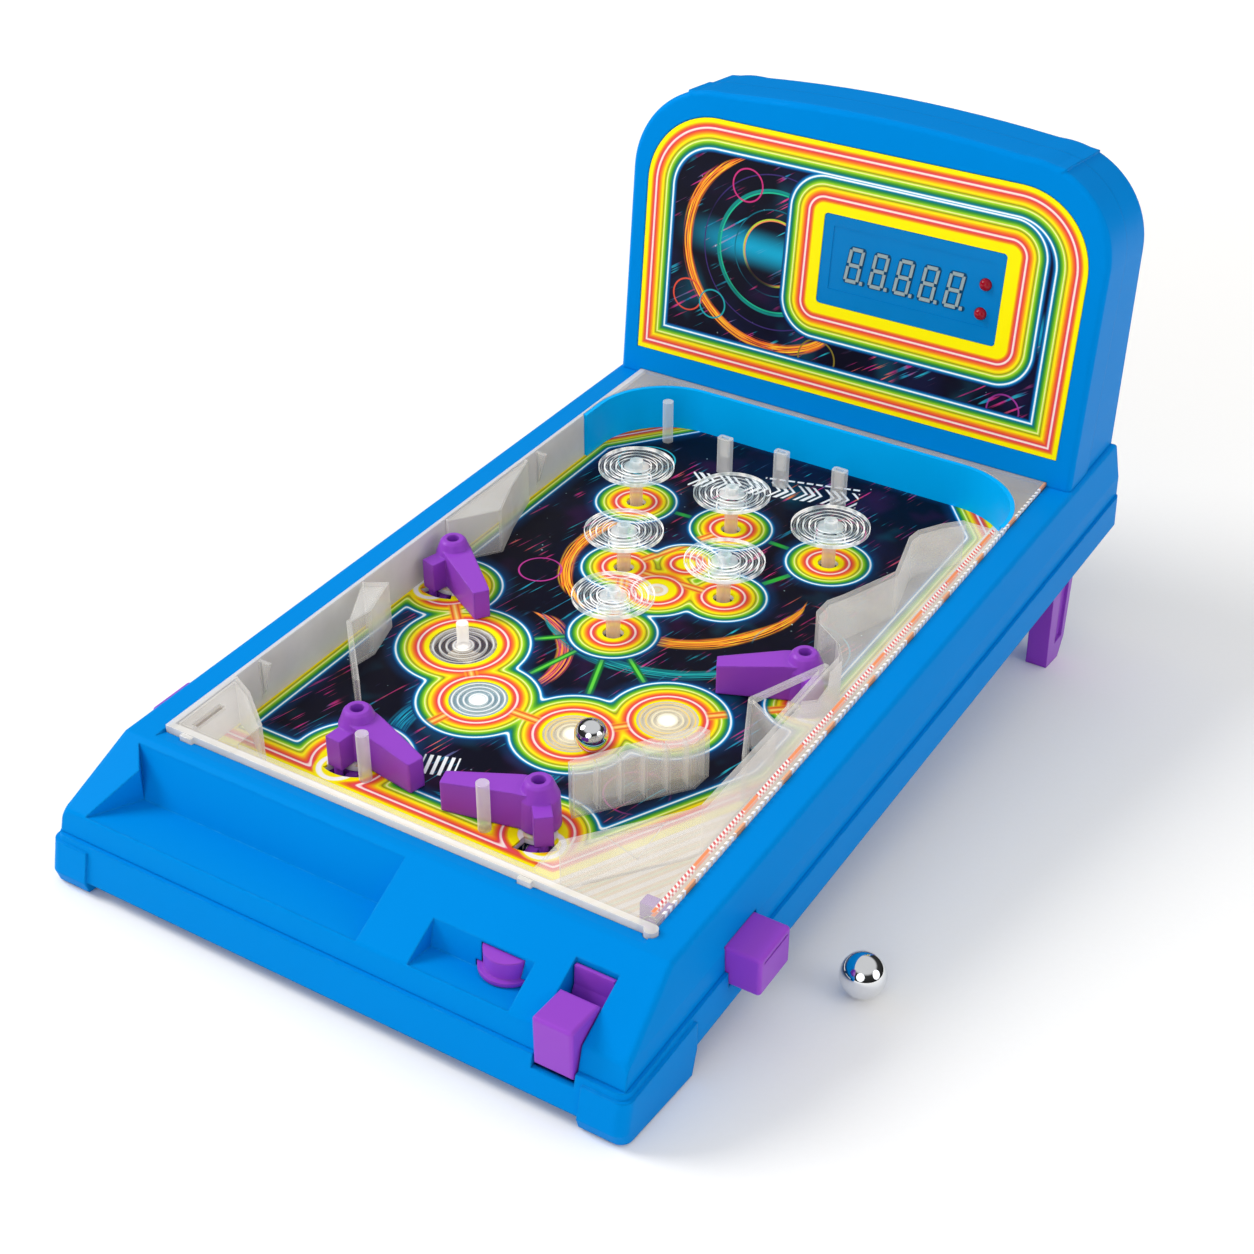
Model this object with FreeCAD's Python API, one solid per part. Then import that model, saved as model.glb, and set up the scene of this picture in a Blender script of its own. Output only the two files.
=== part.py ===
"""Tabletop electronic pinball game: a two-shell cabinet on short front feet and two folding
rear legs, a backbox with a score display, a clear moulded playfield frame, four coupled
flippers, six sprung bumpers, a pull launcher and two steel balls.

Everything is designed in the playfield's own frame: X right, Y up the playfield, Z out of it,
with zero at the middle of the clear frame's front edge, on its top face.  save() then tilts
each piece to the playing slope and lifts it so that the feet stand on Z = 0.
"""
import FreeCAD, Part
import math
import os

os.makedirs("parts", exist_ok=True)
V = FreeCAD.Vector

# ---- playing attitude -------------------------------------------------------------------
TILT = 7.0                 # slope of the playfield, degrees
LIFT = 63.5                # height of the design origin above the table
TABLE = FreeCAD.Placement(V(0, 0, LIFT), FreeCAD.Rotation(V(1, 0, 0), TILT))

# ---- cabinet ----------------------------------------------------------------------------
SKIN = 2.4                 # moulded wall thickness
GAP = 0.4                  # clearance between pieces that are only fitted together
RIM_Z = -2.0               # top face of the cabinet rim
SEAM_Z = -33.0             # joint between the two cabinet shells
PAN_Z = -50.5              # underside of the lower pan
CORNER_R = 5.0             # outer corner radius of the lower pan and its feet
REAR_Y = 467.6
CREASE_Y = -10.0           # where the rim turns down into the front slope
NOSE_Y, NOSE_Z = -48.0, -22.0
UPPER_SECTION = [(-145.2, -48), (-144.2, -22), (-140.3, RIM_Z), (140.3, RIM_Z), (144.2, -22), (145.2, -48)]
UPPER_SIDE = [(REAR_Y, -48), (REAR_Y, RIM_Z), (CREASE_Y, RIM_Z), (NOSE_Y, NOSE_Z), (-55, -48)]
LOWER_SECTION = [(-147, PAN_Z), (-145.6, -20), (145.6, -20), (147, PAN_Z)]
LOWER_SIDE = [(REAR_Y + 1.5, PAN_Z), (REAR_Y + 1.5, -20), (-49.8, -20), (-57, PAN_Z)]

# ---- playfield --------------------------------------------------------------------------
FRAME_X = 125.0            # half-width of the clear frame
FRAME_Y = 406.0            # length of the clear frame
FIELD_Z = -26.0            # printed playing surface
BOARD_T = 1.2
BASE_T = 2.5
CLEAR_T = 2.0              # wall thickness of the clear mouldings
AXIS_X = -14.0             # centre line of the playing area, beside the launch lane
LANE_X = 103.6             # inner face of the lane wall
BASE_Z = FIELD_Z - BOARD_T - BASE_T
BALL_R = 7.95
SPARE_R = 10.3             # the loose ball on the table is a larger one
SPARE_SPOT = (180.2, 89.4)

# ---- arch at the head of the playfield --------------------------------------------------
ARCH_X, ARCH_Y, ARCH_R, ARCH_T = 121.4, 396.9, 42.0, 2.4
ARCH_LEFT_Y, ARCH_RIGHT_Y = 339.0, 349.5

# ---- flippers: name, pivot x, pivot y, arm angle, arm length, lug angle ------------------
FLIPPERS = [
    ("flipper_lower_left", AXIS_X - 48.8, 56.6, -14.0, 38.5, -95.0, 1),
    ("flipper_lower_right", AXIS_X + 48.8, 56.6, 196.0, 42.0, -50.0, -1),
    ("flipper_upper_left", AXIS_X - 96.6, 196.5, -35.0, 39.0, -105.0, 1),
    ("flipper_upper_right", AXIS_X + 101.5, 201.0, 207.0, 39.0, -45.0, -1),
]
SWING = 28.0               # flipper travel, degrees
LUG_R = 15.0               # radius from pivot to drive pin
LUG_PIN_R = 2.0
PIVOT_PIN_R = 1.5
RUNNING = 0.05             # radial clearance of a running fit

# ---- bumpers and lamps, as offsets from the centre line ----------------------------------
BUMPERS = [(-57.5, 310.5), (0, 313.0), (59.5, 310.0), (-28.7, 251.0), (29.2, 253.0), (-1.5, 197.0)]
BUMPER_STEM_R = 3.6
BUMPER_HOLE_R = 5.4
LENSES = [(-58.0, 149.3, 16.5, True), (-26.0, 116.5, 14.0, False),
          (26.3, 117.5, 14.0, False), (58.0, 149.3, 14.5, False)]
ROUND_POSTS = [(-91.5, 377.7), (-48.1, 41.0), (16.7, 40.6)]
SQUARE_POSTS = [(-46.5, 363.8), (-12.8, 366.6), (23.1, 365.4)]

# ---- backbox ----------------------------------------------------------------------------
BOX_Y = 403.0              # where the front face meets the rim
BOX_LEAN = 6.08            # degrees
BOX_X = 138.5              # half-width
BOX_H = 171.0
BOX_R = 49.5               # outer corner radius
BOX_SEAM = 25.0            # depth of the front shell
BOX_TOP_DEPTH, BOX_BASE_DEPTH = 50.0, 64.0
BOXED = FreeCAD.Placement(V(0, BOX_Y, 0), FreeCAD.Rotation(V(1, 0, 0), -BOX_LEAN))
PANEL_X, PANEL_LOW, PANEL_HIGH, PANEL_R = 128.0, 13.8, 153.0, 41.0
WINDOW = (-18.8, 84.9, 66.3, 116.1)
WINDOW_R = 2.0
WINDOW_GAP = 0.2
WINDOW_DIP = 0.6           # depth of the recess behind the digits

# ---- controls ---------------------------------------------------------------------------
BUTTON_Y, BUTTON_Z = (25.5, 51.0), (-40.0, -20.5)
BUTTON_OUT = 160.4
BUTTON_TRAVEL = 8.0
LEVER_X = (104.6, 122.9)
ROD_X, ROD_Z = 114.0, -18.0
START_X, START_Y = 75.0, -25.0

# ---- rear legs --------------------------------------------------------------------------
LEG_X = (127.6, 139.6)
LEG_Y, LEG_Z = 411.0, -42.0


def box(x0, x1, y0, y1, z0, z1):
    return Part.makeBox(x1 - x0, y1 - y0, z1 - z0, V(x0, y0, z0))


def face(points, plane):
    corners = [V(*plane(a, b)) for a, b in points]
    return Part.Face(Part.makePolygon(corners + corners[:1]))


def prism_z(points, z0, z1):
    return face(points, lambda a, b: (a, b, z0)).extrude(V(0, 0, z1 - z0))


def prism_x(points, x0, x1, inset=0.0):
    outline = face(points, lambda a, b: (x0, a, b))
    if inset:
        outline = outline.makeOffset2D(-inset)
    return outline.extrude(V(x1 - x0, 0, 0))


def prism_y(points, y0, y1, inset=0.0):
    outline = face(points, lambda a, b: (a, y0, b))
    if inset:
        outline = outline.makeOffset2D(-inset)
    return outline.extrude(V(0, y1 - y0, 0))


def rod_z(x, y, r, z0, z1):
    return Part.makeCylinder(r, z1 - z0, V(x, y, z0))


def rod_x(y, z, r, x0, x1):
    return Part.makeCylinder(r, x1 - x0, V(x0, y, z), V(1, 0, 0))


def rod_y(x, z, r, y0, y1):
    return Part.makeCylinder(r, y1 - y0, V(x, y0, z), V(0, 1, 0))


def fuse(shapes):
    shapes = list(shapes)
    if len(shapes) == 1:
        return shapes[0]
    return shapes[0].multiFuse(shapes[1:]).removeSplitter()


def wall(points, thick, z0, z1):
    """An upright wall of even thickness along a folded line."""
    pieces = []
    for (xa, ya), (xb, yb) in zip(points, points[1:]):
        length = math.hypot(xb - xa, yb - ya)
        nx, ny = (ya - yb) / length * thick / 2, (xb - xa) / length * thick / 2
        corners = [(xa + nx, ya + ny), (xb + nx, yb + ny), (xb - nx, yb - ny), (xa - nx, ya - ny)]
        pieces.append(prism_z(corners, z0, z1))
    for x, y in points[1:-1]:
        pieces.append(rod_z(x, y, thick / 2, z0, z1))
    return fuse(pieces)


def revolve(profile, x, y):
    """A turned piece about an upright axis, from (radius, z) points."""
    outline = face(profile, lambda a, b: (x + a, y, b))
    return outline.revolve(V(x, y, 0), V(0, 0, 1), 360)


def rounded(shape, radius, wanted):
    edges = [edge for edge in shape.Edges if wanted(edge.BoundBox)]
    return shape.makeFillet(radius, edges)


def polar(x, y, r, degrees):
    return x + r * math.cos(math.radians(degrees)), y + r * math.sin(math.radians(degrees))


def coil(start, direction, radius, wire, length):
    """A close-wound spring, drawn as touching rings on a thin sleeve."""
    axis = V(*direction)
    outer = Part.makeCylinder(radius, length, V(*start), axis)
    sleeve = outer.cut(Part.makeCylinder(radius - wire, length, V(*start), axis))
    turns = int(length / (wire * 1.6))
    for turn in range(1, turns):
        centre = V(*start) + axis * (length * turn / turns)
        sleeve = sleeve.cut(Part.makeTorus(radius + wire * 0.25, wire * 0.55, centre, axis))
    return sleeve


def save(node, shape):
    solids = shape.Solids
    if not solids or not shape.isValid():
        raise RuntimeError("bad solid in " + node)
    moved = Part.makeCompound(solids) if len(solids) > 1 else solids[0].copy()
    moved.Placement = TABLE.multiply(moved.Placement)
    moved.exportStep("parts/" + node + ".step")


# ---- cabinet shells ---------------------------------------------------------------------
def button_well(side):
    x0, x1 = sorted((side * 130.0, side * 152.0))
    return box(x0, x1, BUTTON_Y[0] - GAP, BUTTON_Y[1] + GAP, BUTTON_Z[0] - GAP, BUTTON_Z[1] + GAP)


def tray_cavity():
    floor = [(-11.5, 3), (-12.9, -4.2), (-22.5, -25.0), (-47.2, -22.3), (-60, -10), (-60, 3)]
    left = prism_z([(-131, -11), (-121, -22.5), (-131, -47.2)], -40, 3)
    return prism_x(floor, -131, 15.6).cut(left)


def pocket_cavity():
    floor = [(-28.0, 3), (-28.8, -12.0), (-32.0, -24.4), (-47.2, -22.4), (-60, -10), (-60, 3)]
    return prism_x(floor, 41.2, 89.6)


def lever_slot():
    return prism_x([(-21.0, 3), (-21.0, -30), (-21.0, -39), (-62, -39), (-62, 3)], 103.9, 123.6)


def start_button_shape(grow):
    top = rod_z(START_X, START_Y, 10.6 + grow, -21.8 - grow, -13.4 + grow)
    flange = rod_z(START_X, START_Y, 13.0 + grow, -23.4 - grow, -21.6 + grow)
    return top, flange


def upper_cabinet():
    outer = prism_y(UPPER_SECTION, -70, 480).common(prism_x(UPPER_SIDE, -160, 160))
    outer = rounded(outer, 2.6, lambda b: b.ZMax > -30 and (b.YLength > 30 or b.XLength > 200))
    inner = prism_y(UPPER_SECTION, -70, 480, SKIN).common(prism_x(UPPER_SIDE, -160, 160, SKIN))
    inner = inner.fuse(box(-141, 141, -48, REAR_Y - SKIN, -60, -34))
    shell = outer.cut(inner)
    tubs = [
        prism_x([(-9.5, -1), (-21.0, -27.6), (-50, -24.8), (-50, -1)], -134, 18.2),
        prism_x([(-25.0, -1), (-29.4, -27.0), (-50, -24.9), (-50, -1)], 38.6, 92.2),
        prism_x([(-18.0, -1), (-18.0, -42), (-60, -42), (-60, -1)], 101.2, 126.0),
    ]
    shell = shell.fuse(fuse(tubs).common(outer))
    shell = shell.cut(tray_cavity()).cut(pocket_cavity()).cut(lever_slot())
    shell = shell.cut(box(-FRAME_X - GAP, FRAME_X + GAP, -GAP, FRAME_Y + GAP, -60, 5))
    gutter = prism_x([(-7.0, RIM_Z + 0.1), (-GAP, RIM_Z - 1.5), (0, 5), (-7.0, 5)], -FRAME_X - GAP, FRAME_X + GAP)
    shell = shell.cut(frame_catches(GAP)).cut(loom_run(GAP)).cut(gutter)
    shell = shell.cut(box(-160, 160, -80, 500, -90, SEAM_Z))
    for cavity in (button_well(-1), button_well(1)):
        shell = shell.cut(cavity)
    for disc in start_button_shape(0.5):
        shell = shell.cut(disc).cut(disc.translated(V(0, 3.2, 0)))
    shell = shell.cut(rod_y(ROD_X, ROD_Z, 3.4, -30, 2))
    bosses = [rod_z(side * 132.5, y, 3.6, SEAM_Z - 14.9, -3.4) for side in (-1, 1) for y in CASE_SCREW_Y]
    shell = shell.fuse(fuse(bosses))
    holes = [rod_z(side * 132.5, y, 1.5, -60, -38) for side in (-1, 1) for y in CASE_SCREW_Y]
    return shell.cut(fuse(holes))


CASE_SCREW_Y = (90.0, 200.0, 310.0)
BASE_POSTS = [(x, y) for x in (-95, -20, 62) for y in (75, 170, 275, 345)]


def table_z(y):
    """Design height of the table under the point y."""
    return (-LIFT - y * math.sin(math.radians(TILT))) / math.cos(math.radians(TILT))


def foot(side):
    """A block that stands proud of the pan's corner, from under the seam to its rubber pad."""
    x0, x1 = sorted((side * 127.0, side * 148.0))
    front, rear, pad, top = -58.3, -2.4, 1.0, -36.0
    outline = [(front + 3.6, top), (front, PAN_Z), (front + 1.6, table_z(front + 1.6) + pad),
               (rear - 3.6, table_z(rear - 3.6) + pad), (rear, PAN_Z), (rear, top)]
    block = prism_x(outline, x0, x1)
    return rounded(block, CORNER_R, lambda b: b.XLength < 0.1 and b.YMax < -50 and b.ZLength > 3
                   and abs(b.XMax) > 147 and abs(b.XMin) > 147)


def foot_pads():
    pads = []
    for side in (-1, 1):
        x0, x1 = sorted((side * 130.0, side * 143.4))
        outline = [(-51, table_z(-51)), (-10, table_z(-10)), (-10, table_z(-10) + 1), (-51, table_z(-51) + 1)]
        pads.append(prism_x(outline, x0, x1))
    return fuse(pads)


def leg_well(side):
    x0, x1 = sorted((side * (LEG_X[0] - 0.9), side * (LEG_X[1] + 0.9)))
    return box(x0, x1, 333, 428.5, PAN_Z - 5, PAN_Z + 6)


DOOR = (-34.0, 34.0, 410.0, 460.0)


def lower_pan():
    outer = prism_y(LOWER_SECTION, -70, 480).common(prism_x(LOWER_SIDE, -160, 160))
    outer = rounded(outer, CORNER_R, lambda b: b.ZLength > 20 and b.XLength < 5 and b.YLength < 15)
    inner = prism_y(LOWER_SECTION, -70, 480, SKIN).common(prism_x(LOWER_SIDE, -160, 160, SKIN))
    inner = inner.fuse(box(-142.5, 142.5, -46, REAR_Y - SKIN, SEAM_Z - 1, 0))
    pan = outer.cut(inner).cut(box(-160, 160, -80, 500, SEAM_Z, 10))
    feet = fuse([foot(-1), foot(1)])
    pan = pan.fuse(feet)
    posts = [rod_z(x, y, 3.6, PAN_Z + 1, BASE_Z) for x, y in BASE_POSTS]
    ears = []
    for side in (-1, 1):
        for near, far in ((122.8, 126.4), (140.8, 143.2)):
            x0, x1 = sorted((side * near, side * far))
            ears.append(box(x0, x1, LEG_Y - 7, LEG_Y + 7, PAN_Z + 1, LEG_Z + 6))
    pan = pan.fuse(fuse(posts + ears))
    cuts = [leg_well(-1), leg_well(1), button_well(-1), button_well(1)]
    cuts.append(lever_slot())
    cuts.append(box(DOOR[0], DOOR[1], DOOR[2], DOOR[3], PAN_Z - 5, PAN_Z + 5))
    for side in (-1, 1):
        x0, x1 = sorted((side * 122.0, side * 142.2))
        cuts.append(rod_x(LEG_Y, LEG_Z, 2.0 + RUNNING, x0, x1))
        cuts += [rod_z(side * 132.5, y, 1.9, -60, -40) for y in CASE_SCREW_Y]
        cuts += [rod_z(side * 132.5, y, 3.2, -60, PAN_Z + 1.2) for y in CASE_SCREW_Y]
    cuts += [rod_z(x, y, 1.2, -60, BASE_Z + 1) for x, y in BASE_POSTS]
    cuts += [rod_z(x, y, 2.6, -60, PAN_Z + 3.0) for x, y in BASE_POSTS]
    return pan.cut(fuse(cuts))


def case_screws():
    screws = []
    for side in (-1, 1):
        for y in CASE_SCREW_Y:
            head = rod_z(side * 132.5, y, 2.9, PAN_Z - 0.1, PAN_Z + 1.2)
            screws.append(head.fuse(rod_z(side * 132.5, y, 1.45, PAN_Z + 1.2, PAN_Z + 10)))
    for x, y in BASE_POSTS:
        head = rod_z(x, y, 2.4, PAN_Z + 1.0, PAN_Z + 3.0)
        screws.append(head.fuse(rod_z(x, y, 1.15, PAN_Z + 3.0, BASE_Z)))
    return Part.makeCompound(screws)


# ---- playfield --------------------------------------------------------------------------
def crescent(flip, z0, z1):
    """The arc slot that a flipper's drive pin sweeps."""
    name, x, y, arm, length, lug, way = flip
    start, stop = sorted((lug - way * 16, lug + way * (SWING + 16)))
    ring = rod_z(x, y, 20.0, z0, z1).cut(rod_z(x, y, 11.0, z0, z1))
    corners = [(x, y)] + [polar(x, y, 40, start + (stop - start) * i / 4) for i in range(5)]
    return ring.common(prism_z(corners, z0, z1))


def board_cuts(z0, z1, bumper_r, lens_drop):
    cuts = [crescent(flip, z0, z1) for flip in FLIPPERS]
    cuts += [rod_z(flip[1], flip[2], PIVOT_PIN_R, z0, z1) for flip in FLIPPERS]
    cuts += [rod_z(AXIS_X + dx, y, bumper_r, z0, z1) for dx, y in BUMPERS]
    cuts += [rod_z(AXIS_X + dx, y, r - lens_drop, z0, z1) for dx, y, r, post in LENSES]
    return fuse(cuts)


def field_outline(z0, z1):
    return box(-FRAME_X + 0.2, FRAME_X - 0.2, 0.2, FRAME_Y - 0.2, z0, z1)


def playfield_board():
    z0, z1 = FIELD_Z - BOARD_T, FIELD_Z
    return field_outline(z0, z1).cut(board_cuts(z0 - 1, z1 + 1, BUMPER_HOLE_R, -0.1))


def playfield_base():
    z0, z1 = BASE_Z, FIELD_Z - BOARD_T
    base = field_outline(z0, z1).cut(board_cuts(z0 - 1, z1 + 1, BUMPER_HOLE_R, 1.5))
    return base


def arch_outline(grow, y_left, y_right):
    """The rounded head of the playing area, grown outwards by grow, down to the two ends."""
    x, y, r = ARCH_X + grow, ARCH_Y + grow, ARCH_R + grow
    middle = box(-x + r, x - r, 300, y, -60, 20)
    left = box(-x, -x + r, y_left, y - r, -60, 20)
    right = box(x - r, x, y_right, y - r, -60, 20)
    corners = [rod_z(side * (x - r), y - r, r, -60, 20) for side in (-1, 1)]
    corners = [c.common(box(-x, x, y - r, y, -60, 20)) for c in corners]
    return fuse([middle, left, right] + corners)


def arch_wall():
    ring = arch_outline(ARCH_T, ARCH_LEFT_Y, ARCH_RIGHT_Y).cut(arch_outline(0, 250, 250))
    middle = box(-ARCH_X + ARCH_R, ARCH_X - ARCH_R, 290, ARCH_Y - 5, -60, 20)
    return ring.cut(middle).common(box(-FRAME_X, FRAME_X, 335, FRAME_Y, FIELD_Z, -0.4))


LANE_EDGE = [(66.0, 25.0), (101.5, 70.0), (LANE_X + 0.8, 76.0), (LANE_X + 0.8, 204.0), (97.7, 214.0),
             (83.0, 224.0), (78.6, 231.0), (78.6, 242.0), (83.0, 251.0), (95.5, 283.0), (87.5, 316.0),
             (88.5, 324.0), (96.0, 336.0), (LANE_X + 0.8, 345.0)]
LEFT_EDGE = [(-122.5, 44.0), (-110.0, 38.0), (-89.5, 22.0), (-89.5, 2.0)]


def frame_catches(grow=0.0):
    """Two clips and a corner boss on the frame's front edge, or their pockets when grown."""
    low, high = -grow, grow + 0.1 if grow else 0.0
    clips = [box(x - 3.2 - grow, x + 3.2 + grow, -2.0 - grow, 3, -7.5 + low, -0.6 + high) for x in (-112, 66.5)]
    return fuse(clips + [rod_z(FRAME_X - 0.4, 0.4, 3.0 + grow, -9 + low, high)])


def clear_frame():
    z0, lid = FIELD_Z, -CLEAR_T
    side = FRAME_X - CLEAR_T
    walls = [
        box(-FRAME_X, -side, 0, 338.5, z0, 0),
        box(side, FRAME_X, 0, 349.0, z0, 0),
        box(-FRAME_X, FRAME_X, 0, CLEAR_T, z0, 0),
        box(-FRAME_X, FRAME_X, 0, 6.2, -3.2, 0),
        box(-FRAME_X, FRAME_X, 400.0, FRAME_Y, lid, 0),
        wall(LANE_EDGE, 1.6, z0, 0),
        wall(LEFT_EDGE, 1.6, z0, 0),
    ]
    right_lid = prism_z(LANE_EDGE + [(side + 1, 345), (side + 1, 1), (66, 1)], lid, 0)
    left_lid = prism_z(LEFT_EDGE + [(-side - 1, 2), (-side - 1, 44)], lid, 0)
    right_lid = right_lid.cut(prism_z([(102, 199), (110, 180), (111, 168), (102, 160)], -10, 10))
    left_lid = left_lid.cut(box(-115.2, -111.6, 5.0, 24.5, -10, 10))
    recess = prism_z([(80, 38), (96.5, 57), (98.5, 33)], -0.9, 5)
    right_lid = right_lid.cut(recess)
    gussets = box(-FRAME_X, FRAME_X, 338, FRAME_Y, lid, 0).cut(arch_outline(ARCH_T + 0.1, 200, 200))
    fins = [prism_y([(-side, -1), (-116.5, -1), (-side, -23)], y, y + CLEAR_T) for y in (60, 290)]
    frame = fuse(walls + [right_lid, left_lid, gussets, frame_catches()] + fins)
    frame = frame.cut(rod_y(ROD_X, ROD_Z, 3.4, -1, 4))
    return frame.cut(box(-160, 160, -0.3, 0.01, -60, -12))


def left_inlane_guide():
    z0 = FIELD_Z
    path = [(-121.8, 136.5), (-112.0, 143.0), (-105.0, 120.0), (-107.0, 107.0), (-74.5, 71.5)]
    guide = wall(path, 2.4, z0, -0.3)
    lid = prism_z([(-121.8, 136.5), (-112.0, 143.0), (-105.0, 120.0), (-107.0, 107.0)], -1.8, -0.3)
    return guide.fuse(lid).removeSplitter()


def upper_left_guide():
    path = [(-121.9, 206.5), (-105.0, 230.0), (-113.5, 252.0), (-121.9, 280.0)]
    lid = prism_z(path, -1.8, -0.3)
    return wall(path, 1.8, FIELD_Z, -0.3).fuse(lid).removeSplitter()


def right_inlane_guide():
    """A hollow faceted block, open underneath, stiffened by upright ribs."""
    outline = [(42.0, 75.5), (40.0, 71.5), (45.0, 66.0), (80.2, 112.0), (81.0, 123.0), (75.5, 123.5)]
    ribs = []
    for along in (0.2, 0.38, 0.56, 0.74, 0.9):
        x, y = 42.0 + along * 36.0, 69.0 + along * 49.0
        rib = box(-6, 6, -0.6, 0.6, FIELD_Z, -1)
        rib.rotate(V(0, 0, 0), V(0, 0, 1), -37.0)
        rib.translate(V(x + 1, y, 0))
        ribs.append(rib)
    block = prism_z(outline, FIELD_Z, -0.3)
    shrunk = face(outline, lambda a, b: (a, b, FIELD_Z - 1)).makeOffset2D(-1.5)
    core = shrunk.extrude(V(0, 0, -FIELD_Z - 1))
    inside = fuse(ribs).common(block)
    return block.cut(core).fuse(inside).removeSplitter()


def sling_guide():
    apex, nose, hip, foot_end = (101.6, 195.0), (84.6, 153.0), (102.2, 143.5), (102.4, 115.0)
    bars = [wall([apex, nose], 2.2, -3.2, -0.3), wall([apex, hip], 2.2, -3.2, -0.3)]
    walls = [wall([nose, foot_end], 1.8, FIELD_Z, -0.3), wall([nose, hip], 1.8, FIELD_Z, -0.3)]
    return fuse(bars + walls)


def round_posts():
    return fuse([rod_z(x, y, 3.0, FIELD_Z, -0.6) for x, y in ROUND_POSTS])


def square_posts():
    posts = []
    for x, y in SQUARE_POSTS:
        body = box(x - 4.2, x + 4.2, y - 2.6, y + 2.6, FIELD_Z, -4.5)
        body = rounded(body, 1.6, lambda b: b.ZLength > 10)
        posts.append(body.cut(box(x - 2.4, x + 2.4, y - 1.1, y + 1.1, -16, 0)))
    return fuse(posts)


def ring_lens(dx, y, r, post):
    """A flush ring lens: concentric grooves, with a short post on the first."""
    x = AXIS_X + dx
    lens = rod_z(x, y, r, FIELD_Z - BOARD_T, FIELD_Z)
    for step in range(1, 4):
        groove = r * (0.9 - 0.2 * step) + 1.4
        cut = rod_z(x, y, groove + 0.5, FIELD_Z - 0.5, 0).cut(rod_z(x, y, groove - 0.5, -40, 1))
        lens = lens.cut(cut)
    if post:
        lens = lens.fuse(rod_z(x, y, 3.0, FIELD_Z - 0.6, -13.0))
    return lens


def light_lenses():
    return Part.makeCompound([ring_lens(*place) for place in LENSES])


def playfield_lamps():
    lamps = []
    for dx, y, r, post in LENSES:
        x = AXIS_X + dx
        bulb = rod_z(x, y, 2.5, BASE_Z - 2.0, FIELD_Z - BOARD_T - 0.9)
        board = box(x - 7, x + 7, y - 5, y + 5, BASE_Z - 3.2, BASE_Z - 2.0)
        lamps.append(bulb.fuse(board))
    return Part.makeCompound(lamps)


# ---- bumpers ----------------------------------------------------------------------------
def bumper(dx, y):
    """A turned clear post with a small lower flange and a wide ribbed disc on a funnel."""
    x = AXIS_X + dx
    profile = [(0, -33.5), (2.4, -33.5), (2.4, -30.6), (BUMPER_STEM_R, -30.6), (BUMPER_STEM_R, -14.0),
               (9.8, -11.8), (9.8, -10.8), (4.4, -10.2), (4.0, -8.0), (6.4, -5.6)]
    low, high = -5.0, -4.1
    ridges = [8.0, 11.1, 14.2, 17.3, 20.4]
    under = [(ridges[-1], low)]
    over = [(ridges[-1], high)]
    for ring in reversed(ridges):
        over += [(ring, high + 0.9), (ring - 0.9, high + 0.9), (ring - 0.9, high)]
    top = [(3.6, high), (3.6, -0.4), (2.0, -0.4), (2.0, -3.0), (0, -3.0)]
    return revolve(profile + [(7.2, low)] + under + over[1:] + top, x, y)


def bumper_springs():
    springs = [coil((AXIS_X + dx, y, BASE_Z - 8.0), (0, 0, 1), 6.2, 1.0, 7.6) for dx, y in BUMPERS]
    return Part.makeCompound(springs)


def bumper_switch_board():
    board = box(AXIS_X - 72, AXIS_X + 72, 188, 322, BASE_Z - 10.0, BASE_Z - 8.4)
    holes = [rod_z(x, y, 4.6, -60, 0) for x, y in BASE_POSTS]
    return board.cut(fuse(holes))


# ---- flippers and their linkage ---------------------------------------------------------
def flipper(flip):
    name, x, y, arm, length, lug, way = flip
    low = FIELD_Z + 0.6
    boss = revolve([(0, low), (9.6, low), (9.2, -10), (6.6, -3.4), (5.4, -2.2), (0, -2.2)], x, y)
    root, tip = 7.6, 4.4
    outline = [(0, -root), (length, -tip), (length, tip), (0, root)]
    blade = prism_z(outline, low, -6.6)
    blade = blade.fuse(rod_z(length, 0, tip, low, -6.6))
    slope = prism_y([(6, 2), (6, -6.2), (length + 8, -10.6), (length + 8, 2)], -20, 20)
    blade = blade.cut(slope)
    blade = blade.common(prism_y([(-9, low), (length + 2.0, low), (length + 2.0, 2), (-9, 2)], -20, 20))
    tail = box(0, 17.0, -4.2, 4.2, low, -9.5)
    pin = rod_z(LUG_R, 0, LUG_PIN_R, BASE_Z - 4.2, low + 1)
    tail = tail.fuse(pin)
    for piece, angle in ((blade, arm), (tail, lug)):
        piece.rotate(V(0, 0, 0), V(0, 0, 1), angle)
        piece.translate(V(x, y, 0))
    body = fuse([boss, blade, tail])
    bore = rod_z(x, y, PIVOT_PIN_R + RUNNING, -60, -7.4)
    mouth = rod_z(x, y, 3.2, -7.4, 0)
    return body.cut(bore).cut(mouth)


def flipper_pins():
    return Part.makeCompound([rod_z(f[1], f[2], PIVOT_PIN_R, BASE_Z, -7.6) for f in FLIPPERS])


def pin_slot(flip):
    """Room in a link bar for a drive pin, over the whole swing."""
    name, x, y, arm, length, lug, way = flip
    ax, ay = polar(x, y, LUG_R, lug)
    bx, by = polar(x, y, LUG_R, lug + way * SWING)
    bx -= way * BUTTON_TRAVEL
    room = LUG_PIN_R + 0.9
    return box(min(ax, bx) - room, max(ax, bx) + room, min(ay, by) - room, max(ay, by) + room, -60, 0)


def link_bar(side):
    z0, z1 = BASE_Z - 3.6, BASE_Z - 0.6
    flips = [f for f in FLIPPERS if f[6] == -side]
    low_x, low_y = polar(flips[0][1], flips[0][2], LUG_R, flips[0][5])
    high_x, high_y = polar(flips[1][1], flips[1][2], LUG_R, flips[1][5])
    cross = sorted((low_x - side * 8, side * 133.2))
    bar = box(cross[0], cross[1], low_y - 7, low_y + 7, z0, z1)
    rise = box(high_x - 7, high_x + 7, low_y - 7, high_y + 9, z0, z1)
    bar = bar.fuse(rise)
    for flip in flips:
        bar = bar.cut(pin_slot(flip))
    return bar.removeSplitter()


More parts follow.
